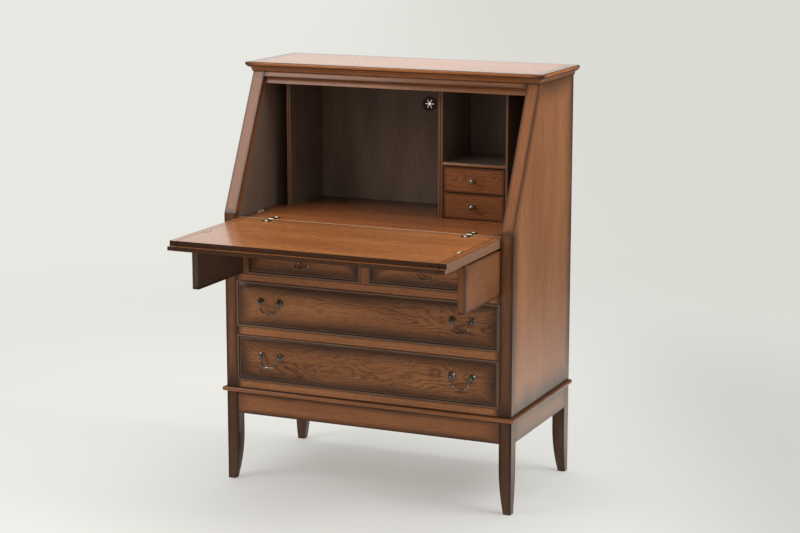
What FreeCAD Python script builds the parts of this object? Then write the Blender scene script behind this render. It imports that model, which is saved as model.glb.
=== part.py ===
import FreeCAD, Part
import math
import os
import Sketcher

# A slant-front writing desk on four legs: wooden case, hinged fall, pull-out lopers and drawers.
# X runs to the right, Y to the back and Z up. The desk stands on Z = 0, fall open and lopers out.

# Driving dimensions in millimetres. A name that ends in share is a ratio.
DIMENSIONS = {
    # stand
    "case_width": 800,
    "case_depth": 430,
    "leg_width": 33,
    "foot_width": 20,
    "knee_height": 125,
    "leg_clear_height": 182,
    "apron_height": 58,
    "apron_thickness": 18,
    "base_thickness": 12,
    "base_overhang": 9,
    "base_round": 5,
    # case
    "stile_width": 33,
    "stile_depth": 20,
    "slant_lean_share": 0.49,
    "back_thickness": 8,
    "back_inset": 6,
    "bottom_rail_height": 21,
    "lower_opening_height": 122,
    "middle_rail_height": 23,
    "upper_opening_height": 120,
    "upper_rail_height": 21,
    "small_opening_height": 118,
    "rail_depth": 40,
    "dust_board_thickness": 12,
    "desk_floor_thickness": 25,
    "desk_space_height": 379,
    "runner_width": 25,
    "runner_height": 15,
    "guide_height": 20,
    "partition_thickness": 12,
    "muntin_width": 20,
    "bead_width": 5,
    "bead_depth": 11,
    "bead_proud": 1.5,
    # top
    "top_thickness": 10,
    "top_overhang": 16,
    "top_round": 4,
    "cornice_height": 15,
    "cornice_projection": 12,
    "cornice_fillet": 3,
    "top_rail_drop": 13,
    "top_rail_depth": 24,
    "stop_thickness": 12,
    "stop_gap": 0.5,
    "stop_clearance": 1.5,
    # fall
    "fall_thickness": 23,
    "fall_lip_thickness": 10,
    "fall_lip_width": 12,
    "fall_reveal": 3,
    "fall_side_gap": 1,
    "fall_top_gap": 2.5,
    "fall_rest_gap": 0.2,
    "cleat_width": 20,
    # hinges and catch plates
    "hinge_inset": 71,
    "hinge_width": 12,
    "hinge_leaf_length": 32,
    "hinge_leaf_thickness": 2,
    "knuckle_radius": 3,
    "knuckle_relief": 0.4,
    "knuckle_gap": 0.2,
    "middle_knuckle_share": 0.4,
    "hinge_pin_radius": 1.2,
    "running_clearance": 0.05,
    "catch_width": 12,
    "catch_length": 22,
    "catch_thickness": 1.5,
    "catch_inset": 21,
    "catch_distance": 223,
    # lopers
    "loper_thickness": 18,
    "loper_clearance": 1,
    "loper_back_gap": 30,
    "loper_reach": 232,
    "loper_set_back": 1,
    "loper_top_drop": 3,
    "pad_length": 18,
    "pad_front": 2,
    "groove_width": 8,
    "groove_depth": 12,
    "stop_pin_radius": 2.5,
    "stop_pin_head_radius": 4.5,
    "stop_pin_head_height": 2,
    "stop_pin_distance": 112,
    "stop_pin_spacing": 18,
    "stop_pin_reach": 8,
    "stop_pin_end_gap": 0.5,
    # pigeonholes
    "pigeonhole_depth": 194,
    "left_slot_width": 37,
    "left_divider_thickness": 12,
    "right_slot_width": 68,
    "slot_partition_thickness": 6,
    "drawer_bay_width": 173,
    "right_divider_thickness": 14,
    "shelf_rise": 136,
    "shelf_thickness": 10,
    "strip_size": 5,
    # drawers
    "front_gap": 1,
    "front_thickness": 18,
    "front_set_back": 1,
    "front_bevel": 4.5,
    "front_crown": 2,
    "running_gap": 0.3,
    "box_wall": 12,
    "box_bottom_thickness": 6,
    "box_bottom_lift": 6,
    "box_side_gap": 1.5,
    "box_height": 92,
    "box_back_gap": 32,
    "little_front_gap": 1.5,
    "little_front_thickness": 12,
    "little_box_wall": 7,
    "little_box_bottom_thickness": 4,
    "little_box_height": 52,
    "little_box_back_gap": 17,
    # handles, knobs and key
    "handle_inset": 99,
    "handle_rise": 10,
    "small_handle_drop": 2,
    "post_spacing": 55,
    "post_radius": 4.2,
    "rosette_radius": 10,
    "rosette_edge": 1.5,
    "rosette_height": 6,
    "rosette_curve": 7,
    "pivot_distance": 13,
    "bail_radius": 2,
    "bail_drop": 28,
    "bail_corner": 10,
    "bail_elbow": 2.6,
    "bail_post_gap": 0.5,
    "bail_pin_end_gap": 0.5,
    "knob_radius": 7.3,
    "knob_foot_radius": 5,
    "knob_foot_height": 1.5,
    "knob_neck_radius": 3.5,
    "knob_neck_length": 6,
    "key_drop": 8,
    "plug_radius": 6,
    "plug_proud": 2,
    "key_shank_radius": 2.5,
    "key_bow_radius": 10,
    "key_bow_hole_radius": 4,
    "key_bow_thickness": 3,
    "key_bow_distance": 17,
    # cable grommet
    "grommet_drop": 110,
    "grommet_radius": 20,
    "grommet_hole_radius": 17.5,
    "grommet_bore_radius": 15,
    "grommet_lip": 1,
    "grommet_flange": 2.5,
    "membrane_thickness": 1.5,
    "membrane_eye_radius": 3.2,
    "slit_width": 1.6,
    "slit_length": 25,
    # how far a cutting shape runs past what it cuts
    "overrun": 1,
}
SIDES = (("left", -1), ("right", 1))
SLIT_CUTS = 3
FULL_TURN = 360
QUARTER_TURN = 90
START, END = 1, 2

doc = FreeCAD.newDocument("escritoire")
sheet = doc.addObject("Spreadsheet::Sheet", "Sizes")
pieces = {}


class Size:
    """A size worked out from the sheet: its expression, and its value as a first guess for sketches."""

    def __init__(self, text, value):
        self.text = text
        self.value = value

    def __add__(self, other):
        other = size_of(other)
        return Size(f"({self.text} + {other.text})", self.value + other.value)

    def __sub__(self, other):
        other = size_of(other)
        return Size(f"({self.text} - {other.text})", self.value - other.value)

    def __mul__(self, other):
        other = size_of(other)
        return Size(f"({self.text} * {other.text})", self.value * other.value)

    def __truediv__(self, other):
        other = size_of(other)
        return Size(f"({self.text} / {other.text})", self.value / other.value)

    def __radd__(self, other):
        return size_of(other) + self

    def __rsub__(self, other):
        return size_of(other) - self

    def __rmul__(self, other):
        return size_of(other) * self

    def __rtruediv__(self, other):
        return size_of(other) / self

    def __neg__(self):
        return size_of(0) - self


def size_of(value):
    """A plain number, such as a ratio or zero, as a Size."""
    return value if isinstance(value, Size) else Size(str(value), value)


def root(size):
    return Size(f"sqrt({size.text})", math.sqrt(size.value))


class Dimensions:
    """Holds each driving dimension as a Size under its own name."""


dim = Dimensions()
for row, (alias, number) in enumerate(DIMENSIONS.items(), start=1):
    sheet.set(f"A{row}", alias)
    sheet.set(f"B{row}", str(number))
    sheet.setAlias(f"B{row}", alias)
    setattr(dim, alias, Size(f"Sizes.{alias}", number))
doc.recompute()


# Binding, placing and naming

def bind(thing, name, size):
    thing.setExpression(name, size_of(size).text)


def place(thing, x, y, z, rotation=None):
    """Puts a shape at x, at y measured back from the front of the case, and at z."""
    if rotation:
        thing.Placement = FreeCAD.Placement(FreeCAD.Vector(), rotation)
    bind(thing, "Placement.Base.x", x)
    bind(thing, "Placement.Base.y", front + y)
    bind(thing, "Placement.Base.z", z)


def piece(name, thing):
    """Records a finished sub-part under the name of its file."""
    thing.Label = name
    pieces[name] = thing
    return thing


def sorted_pair(start, end, direction):
    """Two limits in rising order, for a stretch that runs from start to end."""
    return (start, end) if direction > 0 else (end, start)


def span(sign, inner, outer):
    """The low and high X of a stretch that lies between two distances from the middle, on one side."""
    return (inner, outer) if sign > 0 else (-outer, -inner)


# Plain shapes

def board(name, across, along, up):
    """A rectangular board from its low and high limits in X, Y and Z."""
    box = doc.addObject("Part::Box", name)
    bind(box, "Length", across[1] - across[0])
    bind(box, "Width", along[1] - along[0])
    bind(box, "Height", up[1] - up[0])
    place(box, across[0], along[0], up[0])
    return box


def rod(name, axis, radius, length, x, y, z):
    """A round rod that starts at a point and runs along +X, +Y or +Z."""
    turns = {
        "X": FreeCAD.Rotation(FreeCAD.Vector(0, 1, 0), QUARTER_TURN),
        "Y": FreeCAD.Rotation(FreeCAD.Vector(1, 0, 0), -QUARTER_TURN),
        "Z": FreeCAD.Rotation(),
    }
    cylinder = doc.addObject("Part::Cylinder", name)
    bind(cylinder, "Radius", radius)
    bind(cylinder, "Height", length)
    place(cylinder, x, y, z, turns[axis])
    return cylinder


def group(name, things):
    compound = doc.addObject("Part::Compound", name)
    compound.Links = things
    return compound


def fuse(name, things):
    union = doc.addObject("Part::MultiFuse", name)
    union.Shapes = things
    union.Refine = True
    return union


def cut(name, base, tools):
    """The base with every tool taken away."""
    result = doc.addObject("Part::Cut", name)
    result.Base = base
    result.Tool = tools[0] if len(tools) == 1 else group(name + "_tools", tools)
    return result


# Sketched shapes

def round_edge(first, last, radius, turn):
    """An arc from one corner to the next, anticlockwise where turn is 1 and clockwise where it is -1."""
    chord = last - first
    left = FreeCAD.Vector(-chord.y, chord.x, 0).normalize()
    rise = math.sqrt(max(radius * radius - (chord.Length / 2) ** 2, 0))
    centre = first + chord / 2 + left * rise * turn
    begin, finish = (first, last) if turn > 0 else (last, first)
    low = math.atan2(begin.y - centre.y, begin.x - centre.x)
    high = math.atan2(finish.y - centre.y, finish.x - centre.x)
    if high <= low:
        high += 2 * math.pi
    circle = Part.Circle(centre, FreeCAD.Vector(0, 0, 1), radius)
    return Part.ArcOfCircle(circle, low, high)


def fix_point(sketch, edge, end, corner):
    """Binds one end of an edge to its two distances from the sketch's origin."""
    for kind, size in zip(("DistanceX", "DistanceY"), corner):
        rule = Sketcher.Constraint(kind, -1, 1, edge, end, float(size_of(size).value))
        bind(sketch, f"Constraints[{sketch.addConstraint(rule)}]", size)


def outline(owner, name, role, corners, arcs=None, closed=True):
    """Adds a sketch on one of the body's own planes, its corners bound to the sheet.

    arcs gives, for the number of an edge that is round, its radius and its turn.
    """
    sketch = owner.newObject("Sketcher::SketchObject", name)
    plane = next(f for f in owner.Origin.OriginFeatures if f.Role == role)
    sketch.AttachmentSupport = [(plane, "")]
    sketch.MapMode = "FlatFace"
    arcs = arcs or {}
    points = [FreeCAD.Vector(size_of(a).value, size_of(b).value, 0) for a, b in corners]
    edges = len(points) if closed else len(points) - 1
    starts = []
    for number in range(edges):
        first, last = points[number], points[(number + 1) % len(points)]
        if number in arcs:
            radius, turn = arcs[number]
            sketch.addGeometry(round_edge(first, last, radius.value, turn), False)
            starts.append(START if turn > 0 else END)
        else:
            sketch.addGeometry(Part.LineSegment(first, last), False)
            starts.append(START)
    for number in range(edges):
        fix_point(sketch, number, starts[number], corners[number])
        if closed or number + 1 < edges:
            other = (number + 1) % edges
            finish = END if starts[number] == START else START
            sketch.addConstraint(Sketcher.Constraint("Coincident", number, finish, other, starts[other]))
    if not closed:
        finish = END if starts[-1] == START else START
        fix_point(sketch, edges - 1, finish, corners[-1])
    for number, (radius, turn) in arcs.items():
        rule = Sketcher.Constraint("Radius", number, float(radius.value))
        bind(sketch, f"Constraints[{sketch.addConstraint(rule)}]", radius)
    return sketch


def prism(name, role, corners, length, arcs=None):
    """A body made by padding one outline: along +X from YZ, +Y from XZ and +Z from XY."""
    body = doc.addObject("PartDesign::Body", name)
    pad = body.newObject("PartDesign::Pad", name + "_pad")
    pad.Profile = outline(body, name + "_outline", role, corners, arcs)
    pad.Reversed = role == "XZ_Plane"
    bind(pad, "Length", length)
    return body


def turned(name, corners, arcs=None):
    """A body turned about its Y axis from an outline of radius and distance along the axis."""
    body = doc.addObject("PartDesign::Body", name)
    sketch = outline(body, name + "_outline", "XY_Plane", corners, arcs)
    revolution = body.newObject("PartDesign::Revolution", name + "_turning")
    revolution.Profile = sketch
    revolution.ReferenceAxis = (sketch, ["V_Axis"])
    revolution.Angle = FULL_TURN
    return body


def rounded_board(name, half_width, along, up, radius):
    """A board whose front and side edges are rounded above and below, and whose back edge is square."""
    corners = [
        (-half_width, along[0]),
        (half_width, along[0]),
        (half_width, along[1]),
        (-half_width, along[1]),
    ]
    body = prism(name, "XY_Plane", corners, up[1] - up[0])
    place(body, 0, 0, up[0])
    doc.recompute()
    pad = body.Tip
    back = pad.Shape.BoundBox.YMax
    edges = []
    for number, edge in enumerate(pad.Shape.Edges, start=1):
        upright = edge.BoundBox.ZLength > edge.BoundBox.XLength + edge.BoundBox.YLength
        at_back = abs(edge.CenterOfMass.y - back) < radius.value / 2
        if not upright and not at_back:
            edges.append(f"Edge{number}")
    fillet = body.newObject("PartDesign::Fillet", name + "_round")
    fillet.Base = (pad, edges)
    bind(fillet, "Radius", radius)
    return body


# Levels, from the floor up
half_width = dim.case_width / 2
opening_half = half_width - dim.stile_width
apron_top = dim.leg_clear_height + dim.apron_height
case_bottom = apron_top + dim.base_thickness
lower_opening_bottom = case_bottom + dim.bottom_rail_height
lower_opening_top = lower_opening_bottom + dim.lower_opening_height
upper_opening_bottom = lower_opening_top + dim.middle_rail_height
upper_opening_top = upper_opening_bottom + dim.upper_opening_height
small_opening_bottom = upper_opening_top + dim.upper_rail_height
small_opening_top = small_opening_bottom + dim.small_opening_height
floor_top = small_opening_top + dim.desk_floor_thickness
case_top = floor_top + dim.desk_space_height
slant_top = case_top - dim.cornice_height
rail_bottom = slant_top - dim.top_rail_drop

# The slanted front: it rises from the case front and leans back to the cornice
slant_sine = 1 / root(1 + dim.slant_lean_share * dim.slant_lean_share)
slant_cosine = dim.slant_lean_share * slant_sine
fall_depth = dim.fall_thickness + dim.fall_reveal
hinge_line = fall_depth * slant_sine
slant_base = floor_top + fall_depth * slant_cosine
slant_run = (slant_top - slant_base) * dim.slant_lean_share
fall_length = (rail_bottom - slant_base - dim.fall_top_gap) / slant_sine
fall_reach = fall_length - hinge_line
back_face = dim.case_depth - dim.back_inset - dim.back_thickness
pigeonhole_front = back_face - dim.pigeonhole_depth
fall_half = opening_half - dim.fall_side_gap
panel_half = fall_half - dim.cleat_width
hinge_spread = panel_half - dim.hinge_inset

# The origin lies on the floor, halfway between the open fall's front edge and the back of the case
front = (fall_reach - dim.case_depth) / 2


def slant_y(height, depth=0):
    """How far back the slanted plane lies at a height, or a plane a given depth behind it."""
    return (height - slant_base) * dim.slant_lean_share + depth / slant_sine


# Stand: four legs, straight outside and curved inside, with aprons between them
def leg_profile(name, role, sign, start, along):
    """One elevation of a leg: the outer edge at start, the inner edge curved from the knee to the foot."""
    taper = dim.leg_width - dim.foot_width
    curve = (dim.knee_height * dim.knee_height + taper * taper) / (2 * taper)
    corners = [
        (start, 0),
        (start + sign * dim.foot_width, 0),
        (start + sign * dim.leg_width, dim.knee_height),
        (start + sign * dim.leg_width, apron_top),
        (start, apron_top),
    ]
    body = prism(name, role, corners, dim.leg_width, {1: (curve, sign)})
    if role == "YZ_Plane":
        place(body, along, 0, 0)
    else:
        place(body, 0, along, 0)
    return body


for end, y_sign, y_start in (("front", 1, size_of(0)), ("back", -1, dim.case_depth)):
    for side, x_sign in SIDES:
        name = f"leg_{end}_{side}"
        x_low = span(x_sign, half_width - dim.leg_width, half_width)[0]
        y_low = y_start if y_sign > 0 else y_start - dim.leg_width
        elevations = [
            leg_profile(name + "_front", "XZ_Plane", -x_sign, x_sign * half_width, y_low),
            leg_profile(name + "_side", "YZ_Plane", y_sign, y_start, x_low),
        ]
        leg = doc.addObject("Part::Common", name)
        leg.Base, leg.Tool = elevations
        piece(name, leg)

leg_inner = half_width - dim.leg_width
apron_height = (dim.leg_clear_height, apron_top)
between_legs = (-leg_inner, leg_inner)
aprons = [
    board("apron_front", between_legs, (size_of(0), dim.apron_thickness), apron_height),
    board("apron_back", between_legs, (dim.case_depth - dim.apron_thickness, dim.case_depth), apron_height),
]
for side, sign in SIDES:
    across = span(sign, half_width - dim.apron_thickness, half_width)
    along = (dim.leg_width, dim.case_depth - dim.leg_width)
    aprons.append(board(f"apron_{side}", across, along, apron_height))
piece("aprons", group("aprons_group", aprons))
base_limits = (-dim.base_overhang, dim.case_depth)
base_half = half_width + dim.base_overhang
base_levels = (apron_top, case_bottom)
base_board = rounded_board("base_board_body", base_half, base_limits, base_levels, dim.base_round)
piece("base_board", base_board)


# Case sides: a flush panel behind a lower stile and a slanted stile, which meet at a mitre
mitre_back = slant_base - dim.stile_depth * (1 - slant_sine) / slant_cosine
panel_top_front = slant_y(case_top, dim.stile_depth)
for side, sign in SIDES:
    x_low = span(sign, opening_half, half_width)[0]
    lower_stile = [
        (0, case_bottom),
        (dim.stile_depth, case_bottom),
        (dim.stile_depth, mitre_back),
        (0, slant_base),
    ]
    slanted_stile = [
        (0, slant_base),
        (dim.stile_depth, mitre_back),
        (panel_top_front, case_top),
        (slant_run, case_top),
        (slant_run, slant_top),
    ]
    side_panel = [
        (dim.stile_depth, case_bottom),
        (dim.case_depth, case_bottom),
        (dim.case_depth, case_top),
        (panel_top_front, case_top),
        (dim.stile_depth, mitre_back),
    ]
    for name, corners in (
        (f"front_stile_{side}", lower_stile),
        (f"slant_stile_{side}", slanted_stile),
        (f"side_panel_{side}", side_panel),
    ):
        member = prism(name + "_body", "YZ_Plane", corners, dim.stile_width)
        place(member, x_low, 0, 0)
        piece(name, member)


# Rails between the drawers and the dust board behind the upper one
opening = (-opening_half, opening_half)
rail_along = (size_of(0), dim.rail_depth)
behind_rail = (dim.rail_depth, back_face)
rails = [
    board("bottom_rail", opening, rail_along, (case_bottom, lower_opening_bottom)),
    board("middle_rail", opening, rail_along, (lower_opening_top, upper_opening_bottom)),
    board("upper_rail", opening, rail_along, (upper_opening_top, small_opening_bottom)),
]
piece("front_rails", group("front_rails_group", rails))
dust_levels = (small_opening_bottom - dim.dust_board_thickness, small_opening_bottom)
piece("dust_board", board("dust_board_box", opening, behind_rail, dust_levels))

# Upright partitions of the small drawer row: one in the middle and one beside each loper
small_levels = (small_opening_bottom, small_opening_top)
loper_bay = dim.loper_thickness + 2 * dim.loper_clearance
partition_outer = opening_half - loper_bay
partition_inner = partition_outer - dim.partition_thickness
muntin_half = dim.muntin_width / 2
partition_along = (size_of(0), back_face)
partitions = [board("muntin", (-muntin_half, muntin_half), partition_along, small_levels)]
for side, sign in SIDES:
    across = span(sign, partition_inner, partition_outer)
    partitions.append(board(f"loper_partition_{side}", across, partition_along, small_levels))
piece("drawer_partitions", group("drawer_partitions_group", partitions))

# A bead lines each drawer opening and stands a little proud of the case
OPENINGS = {
    "lower_drawer": (opening, (lower_opening_bottom, lower_opening_top)),
    "upper_drawer": (opening, (upper_opening_bottom, upper_opening_top)),
    "small_left_drawer": (span(-1, muntin_half, partition_inner), small_levels),
    "small_right_drawer": (span(1, muntin_half, partition_inner), small_levels),
}
WIDE_DRAWERS = ("lower_drawer", "upper_drawer")
beads = []
for name, (across, up) in OPENINGS.items():
    along = (-dim.bead_proud, dim.bead_depth - dim.bead_proud)
    through = (along[0] - dim.overrun, along[1] + dim.overrun)
    inner_across = (across[0] + dim.bead_width, across[1] - dim.bead_width)
    inner_up = (up[0] + dim.bead_width, up[1] - dim.bead_width)
    blank = board(f"{name}_bead_blank", across, along, up)
    hole = board(f"{name}_bead_hole", inner_across, through, inner_up)
    beads.append(cut(f"{name}_bead", blank, [hole]))
piece("cock_beads", group("cock_beads_group", beads))

# Runners level with the beads, each with a guide beside the drawer, and strips for the little drawers
runners = []
for name, (across, up) in OPENINGS.items():
    runner_top = up[0] + dim.bead_width
    runner_bottom = up[0] - dim.runner_height if name in WIDE_DRAWERS else up[0]
    guide_top = runner_top + dim.guide_height
    for side, edge, inward in (("left", across[0], 1), ("right", across[1], -1)):
        runner_across = sorted_pair(edge, edge + inward * dim.runner_width, inward)
        guide_across = sorted_pair(edge, edge + inward * dim.bead_width, inward)
        runner_levels = (runner_bottom, runner_top)
        guide_levels = (runner_top, guide_top)
        runners.append(board(f"{name}_runner_{side}", runner_across, behind_rail, runner_levels))
        runners.append(board(f"{name}_guide_{side}", guide_across, behind_rail, guide_levels))
bay_right = opening_half - dim.right_slot_width - dim.slot_partition_thickness
bay_left = bay_right - dim.drawer_bay_width
strip_top = floor_top + dim.shelf_rise / 2
strip_along = (pigeonhole_front + dim.little_front_thickness, back_face)
for side, x_low in (("left", bay_left), ("right", bay_right - dim.strip_size)):
    across = (x_low, x_low + dim.strip_size)
    runners.append(board(f"strip_{side}", across, strip_along, (strip_top - dim.strip_size, strip_top)))
piece("drawer_runners", group("drawer_runners_group", runners))


# Desk floor, with the hinge recesses and the holes of the loper stop pins
loper_middle = opening_half - dim.loper_clearance - dim.loper_thickness / 2
stop_pin_places = (dim.stop_pin_distance, dim.stop_pin_distance + dim.stop_pin_spacing)
knuckle_room = dim.knuckle_radius + dim.knuckle_relief
hinge_half = dim.hinge_width / 2
hinge_room = hinge_half + dim.knuckle_gap


def hinge_recess(name, centre, direction):
    """The cut for one leaf and the knuckles; direction is 1 on the case side and -1 on the fall side."""
    reach = direction * dim.hinge_leaf_length
    along = (hinge_line, hinge_line + reach) if direction > 0 else (hinge_line + reach, hinge_line)
    up = (floor_top - dim.hinge_leaf_thickness, floor_top + dim.overrun)
    bed = board(name + "_bed", (centre - hinge_half, centre + hinge_half), along, up)
    start = centre - hinge_room
    barrel = rod(name + "_barrel", "X", knuckle_room, 2 * hinge_room, start, hinge_line, floor_top)
    return fuse(name, [bed, barrel])


floor_tools = []
for side, sign in SIDES:
    floor_tools.append(hinge_recess(f"floor_recess_{side}", sign * hinge_spread, 1))
    for number, distance in enumerate(stop_pin_places, start=1):
        hole_name = f"stop_pin_hole_{side}_{number}"
        hole_radius = dim.stop_pin_radius + dim.running_clearance
        depth = dim.desk_floor_thickness + 2 * dim.overrun
        low = small_opening_top - dim.overrun
        floor_tools.append(rod(hole_name, "Z", hole_radius, depth, sign * loper_middle, distance, low))
floor_blank = board("desk_floor_blank", opening, (hinge_line, back_face), (small_opening_top, floor_top))
piece("desk_floor", cut("desk_floor_cut", floor_blank, floor_tools))

# Brass stop pins: a shank through the floor into the loper's groove, and a low round head
loper_top = small_opening_top - dim.loper_top_drop
stop_pins = []
for side, sign in SIDES:
    for number, distance in enumerate(stop_pin_places, start=1):
        pin_name = f"stop_pin_{side}_{number}"
        low = loper_top - dim.stop_pin_reach
        x = sign * loper_middle
        head_radius, head_height = dim.stop_pin_head_radius, dim.stop_pin_head_height
        shank = rod(pin_name + "_shank", "Z", dim.stop_pin_radius, floor_top - low, x, distance, low)
        head = rod(pin_name + "_head", "Z", head_radius, head_height, x, distance, floor_top)
        stop_pins.append(fuse(pin_name, [shank, head]))
piece("loper_stop_pins", group("loper_stop_pins_group", stop_pins))


# Back panel with the cable grommet: a flanged ring and a membrane slit into a star
grommet_level = case_top - dim.grommet_drop
back_along = (back_face, back_face + dim.back_thickness)
back_blank = board("back_panel_blank", opening, back_along, (case_bottom, case_top))
back_hole = rod(
    "back_panel_hole",
    "Y",
    dim.grommet_hole_radius + dim.running_clearance,
    dim.back_thickness + 2 * dim.overrun,
    size_of(0),
    back_face - dim.overrun,
    grommet_level,
)
piece("back_panel", cut("back_panel_cut", back_blank, [back_hole]))
ring_corners = [
    (dim.grommet_bore_radius - dim.grommet_lip, -dim.grommet_flange),
    (dim.grommet_radius, -dim.grommet_flange),
    (dim.grommet_radius, 0),
    (dim.grommet_hole_radius, 0),
    (dim.grommet_hole_radius, dim.back_thickness),
    (dim.grommet_bore_radius, dim.back_thickness),
    (dim.grommet_bore_radius, 0),
    (dim.grommet_bore_radius - dim.grommet_lip, 0),
]
ring = turned("grommet_ring_body", ring_corners)
place(ring, 0, back_face, grommet_level)
piece("grommet_ring", ring)
membrane_disc = rod(
    "membrane_disc",
    "Y",
    dim.grommet_bore_radius - dim.running_clearance,
    dim.membrane_thickness,
    size_of(0),
    back_face,
    grommet_level,
)
slits = []
for number in range(SLIT_CUTS):
    slit = doc.addObject("Part::Box", f"membrane_slit_{number + 1}")
    bind(slit, "Length", dim.slit_length)
    bind(slit, "Width", dim.membrane_thickness + 2 * dim.overrun)
    bind(slit, "Height", dim.slit_width)
    turn = FreeCAD.Rotation(FreeCAD.Vector(0, 1, 0), FULL_TURN / 2 * number / SLIT_CUTS)
    place(slit, 0, back_face - dim.overrun, grommet_level, turn)
    across = turn.multVec(FreeCAD.Vector(1, 0, 0))
    upward = turn.multVec(FreeCAD.Vector(0, 0, 1))
    half_length, half_slit = dim.slit_length / 2, dim.slit_width / 2
    bind(slit, "Placement.Base.x", -half_length * across.x - half_slit * upward.x)
    bind(slit, "Placement.Base.z", grommet_level - half_length * across.z - half_slit * upward.z)
    slits.append(slit)
membrane_eye = rod(
    "membrane_eye",
    "Y",
    dim.membrane_eye_radius,
    dim.membrane_thickness + 2 * dim.overrun,
    size_of(0),
    back_face - dim.overrun,
    grommet_level,
)
star = fuse("membrane_star", slits + [membrane_eye])
piece("grommet_membrane", cut("grommet_membrane_cut", membrane_disc, [star]))


# Top: rail between the slanted stiles, stop batten under it, cove cornice round three sides, top board
rail_back = slant_run + dim.top_rail_depth
top_rail_corners = [
    (slant_y(rail_bottom), rail_bottom),
    (rail_back, rail_bottom),
    (rail_back, case_top),
    (slant_run, case_top),
    (slant_run, slant_top),
]
top_rail = prism("top_rail_body", "YZ_Plane", top_rail_corners, 2 * opening_half)
place(top_rail, -opening_half, 0, 0)
piece("top_rail", top_rail)

fall_inner_length = fall_length - dim.fall_lip_width
stop_depth = dim.fall_reveal + dim.fall_lip_thickness + dim.stop_gap
stop_reach = fall_inner_length + dim.stop_clearance
stop_bottom = slant_base + stop_reach * slant_sine - stop_depth * slant_cosine
stop_back = stop_depth + dim.stop_thickness
stop_corners = [
    (slant_y(stop_bottom, stop_depth), stop_bottom),
    (slant_y(stop_bottom, stop_back), stop_bottom),
    (slant_y(rail_bottom, stop_back), rail_bottom),
    (slant_y(rail_bottom, stop_depth), rail_bottom),
]
fall_stop = prism("fall_stop_body", "YZ_Plane", stop_corners, 2 * opening_half)
place(fall_stop, -opening_half, 0, 0)
piece("fall_stop", fall_stop)


def cornice_section(sign, start):
    """Section of the cornice from its back at start: a small fillet, a cove and a top fillet."""
    cove = dim.cornice_projection - dim.cornice_fillet
    cove_top = dim.cornice_fillet + cove
    return [
        (start, slant_top),
        (start + sign * dim.cornice_fillet, slant_top),
        (start + sign * dim.cornice_fillet, slant_top + dim.cornice_fillet),
        (start + sign * dim.cornice_projection, slant_top + cove_top),
        (start + sign * dim.cornice_projection, case_top),
        (start, case_top),
    ], {2: (cove, -sign)}


cornice_front_y = slant_run - dim.cornice_projection
cornice_half = half_width + dim.cornice_projection
section, arcs = cornice_section(-1, slant_run)
front_run = prism("cornice_front_run", "YZ_Plane", section, 2 * cornice_half, arcs)
place(front_run, -cornice_half, 0, 0)
side_runs = []
for side, sign in SIDES:
    section, arcs = cornice_section(sign, sign * half_width)
    run = prism(f"cornice_{side}_run", "XZ_Plane", section, dim.case_depth - cornice_front_y, arcs)
    place(run, 0, cornice_front_y, 0)
    side_runs.append(run)


def mitre_wedge(name, corners):
    """An upright cutter that follows the mitres of the cornice in plan."""
    wedge = prism(name, "XY_Plane", corners, dim.cornice_height + 2 * dim.overrun)
    place(wedge, 0, 0, slant_top - dim.overrun)
    return wedge


front_keep = mitre_wedge(
    "cornice_front_keep",
    [
        (-cornice_half, cornice_front_y),
        (cornice_half, cornice_front_y),
        (half_width, slant_run),
        (-half_width, slant_run),
    ],
)
mouldings = []
front_moulding = doc.addObject("Part::Common", "cornice_front")
front_moulding.Base, front_moulding.Tool = front_run, front_keep
mouldings.append(front_moulding)
for (side, sign), run in zip(SIDES, side_runs):
    keep_corners = [
        (sign * half_width, slant_run),
        (sign * cornice_half, cornice_front_y),
        (sign * cornice_half, dim.case_depth),
        (sign * half_width, dim.case_depth),
    ]
    moulding = doc.addObject("Part::Common", f"cornice_{side}")
    moulding.Base = run
    moulding.Tool = mitre_wedge(f"cornice_{side}_keep", keep_corners)
    mouldings.append(moulding)
piece("cornice_moulding", group("cornice_moulding_group", mouldings))
top_limits = (slant_run - dim.top_overhang, dim.case_depth)
top_board = rounded_board(
    "top_board_body",
    half_width + dim.top_overhang,
    top_limits,
    (case_top, case_top + dim.top_thickness),
    dim.top_round,
)
piece("top_board", top_board)


# Pigeonholes: two dividers with a double bead on the front edge, a thin partition and a shelf
def beaded_divider(name, x_low, thickness):
    bead = thickness / 4
    shoulder = pigeonhole_front + bead
    corners = [
        (x_low, shoulder),
        (x_low + bead, pigeonhole_front),
        (x_low + 2 * bead, shoulder),
        (x_low + 3 * bead, pigeonhole_front),
        (x_low + 4 * bead, shoulder),
        (x_low + 4 * bead, back_face),
        (x_low, back_face),
    ]
    arcs = {edge: (bead, 1) for edge in range(4)}
    body = prism(name + "_body", "XY_Plane", corners, dim.desk_space_height, arcs)
    place(body, 0, 0, floor_top)
    piece(name, body)


divider_left_low = dim.left_slot_width - opening_half
beaded_divider("divider_left", divider_left_low, dim.left_divider_thickness)
beaded_divider("divider_right", bay_left - dim.right_divider_thickness, dim.right_divider_thickness)
partition_across = (bay_right, bay_right + dim.slot_partition_thickness)
pigeonhole_along = (pigeonhole_front, back_face)
inside_levels = (floor_top, case_top)
slot_board = board("slot_partition_box", partition_across, pigeonhole_along, inside_levels)
piece("slot_partition", slot_board)
shelf_bottom = floor_top + dim.shelf_rise
shelf_nose = dim.shelf_thickness / 2
shelf_corners = [
    (pigeonhole_front + shelf_nose, shelf_bottom),
    (back_face, shelf_bottom),
    (back_face, shelf_bottom + dim.shelf_thickness),
    (pigeonhole_front + shelf_nose, shelf_bottom + dim.shelf_thickness),
    (pigeonhole_front, shelf_bottom + shelf_nose),
]
shelf = prism(
    "pigeonhole_shelf_body",
    "YZ_Plane",
    shelf_corners,
    dim.drawer_bay_width,
    {3: (shelf_nose, 1), 4: (shelf_nose, 1)},
)
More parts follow.
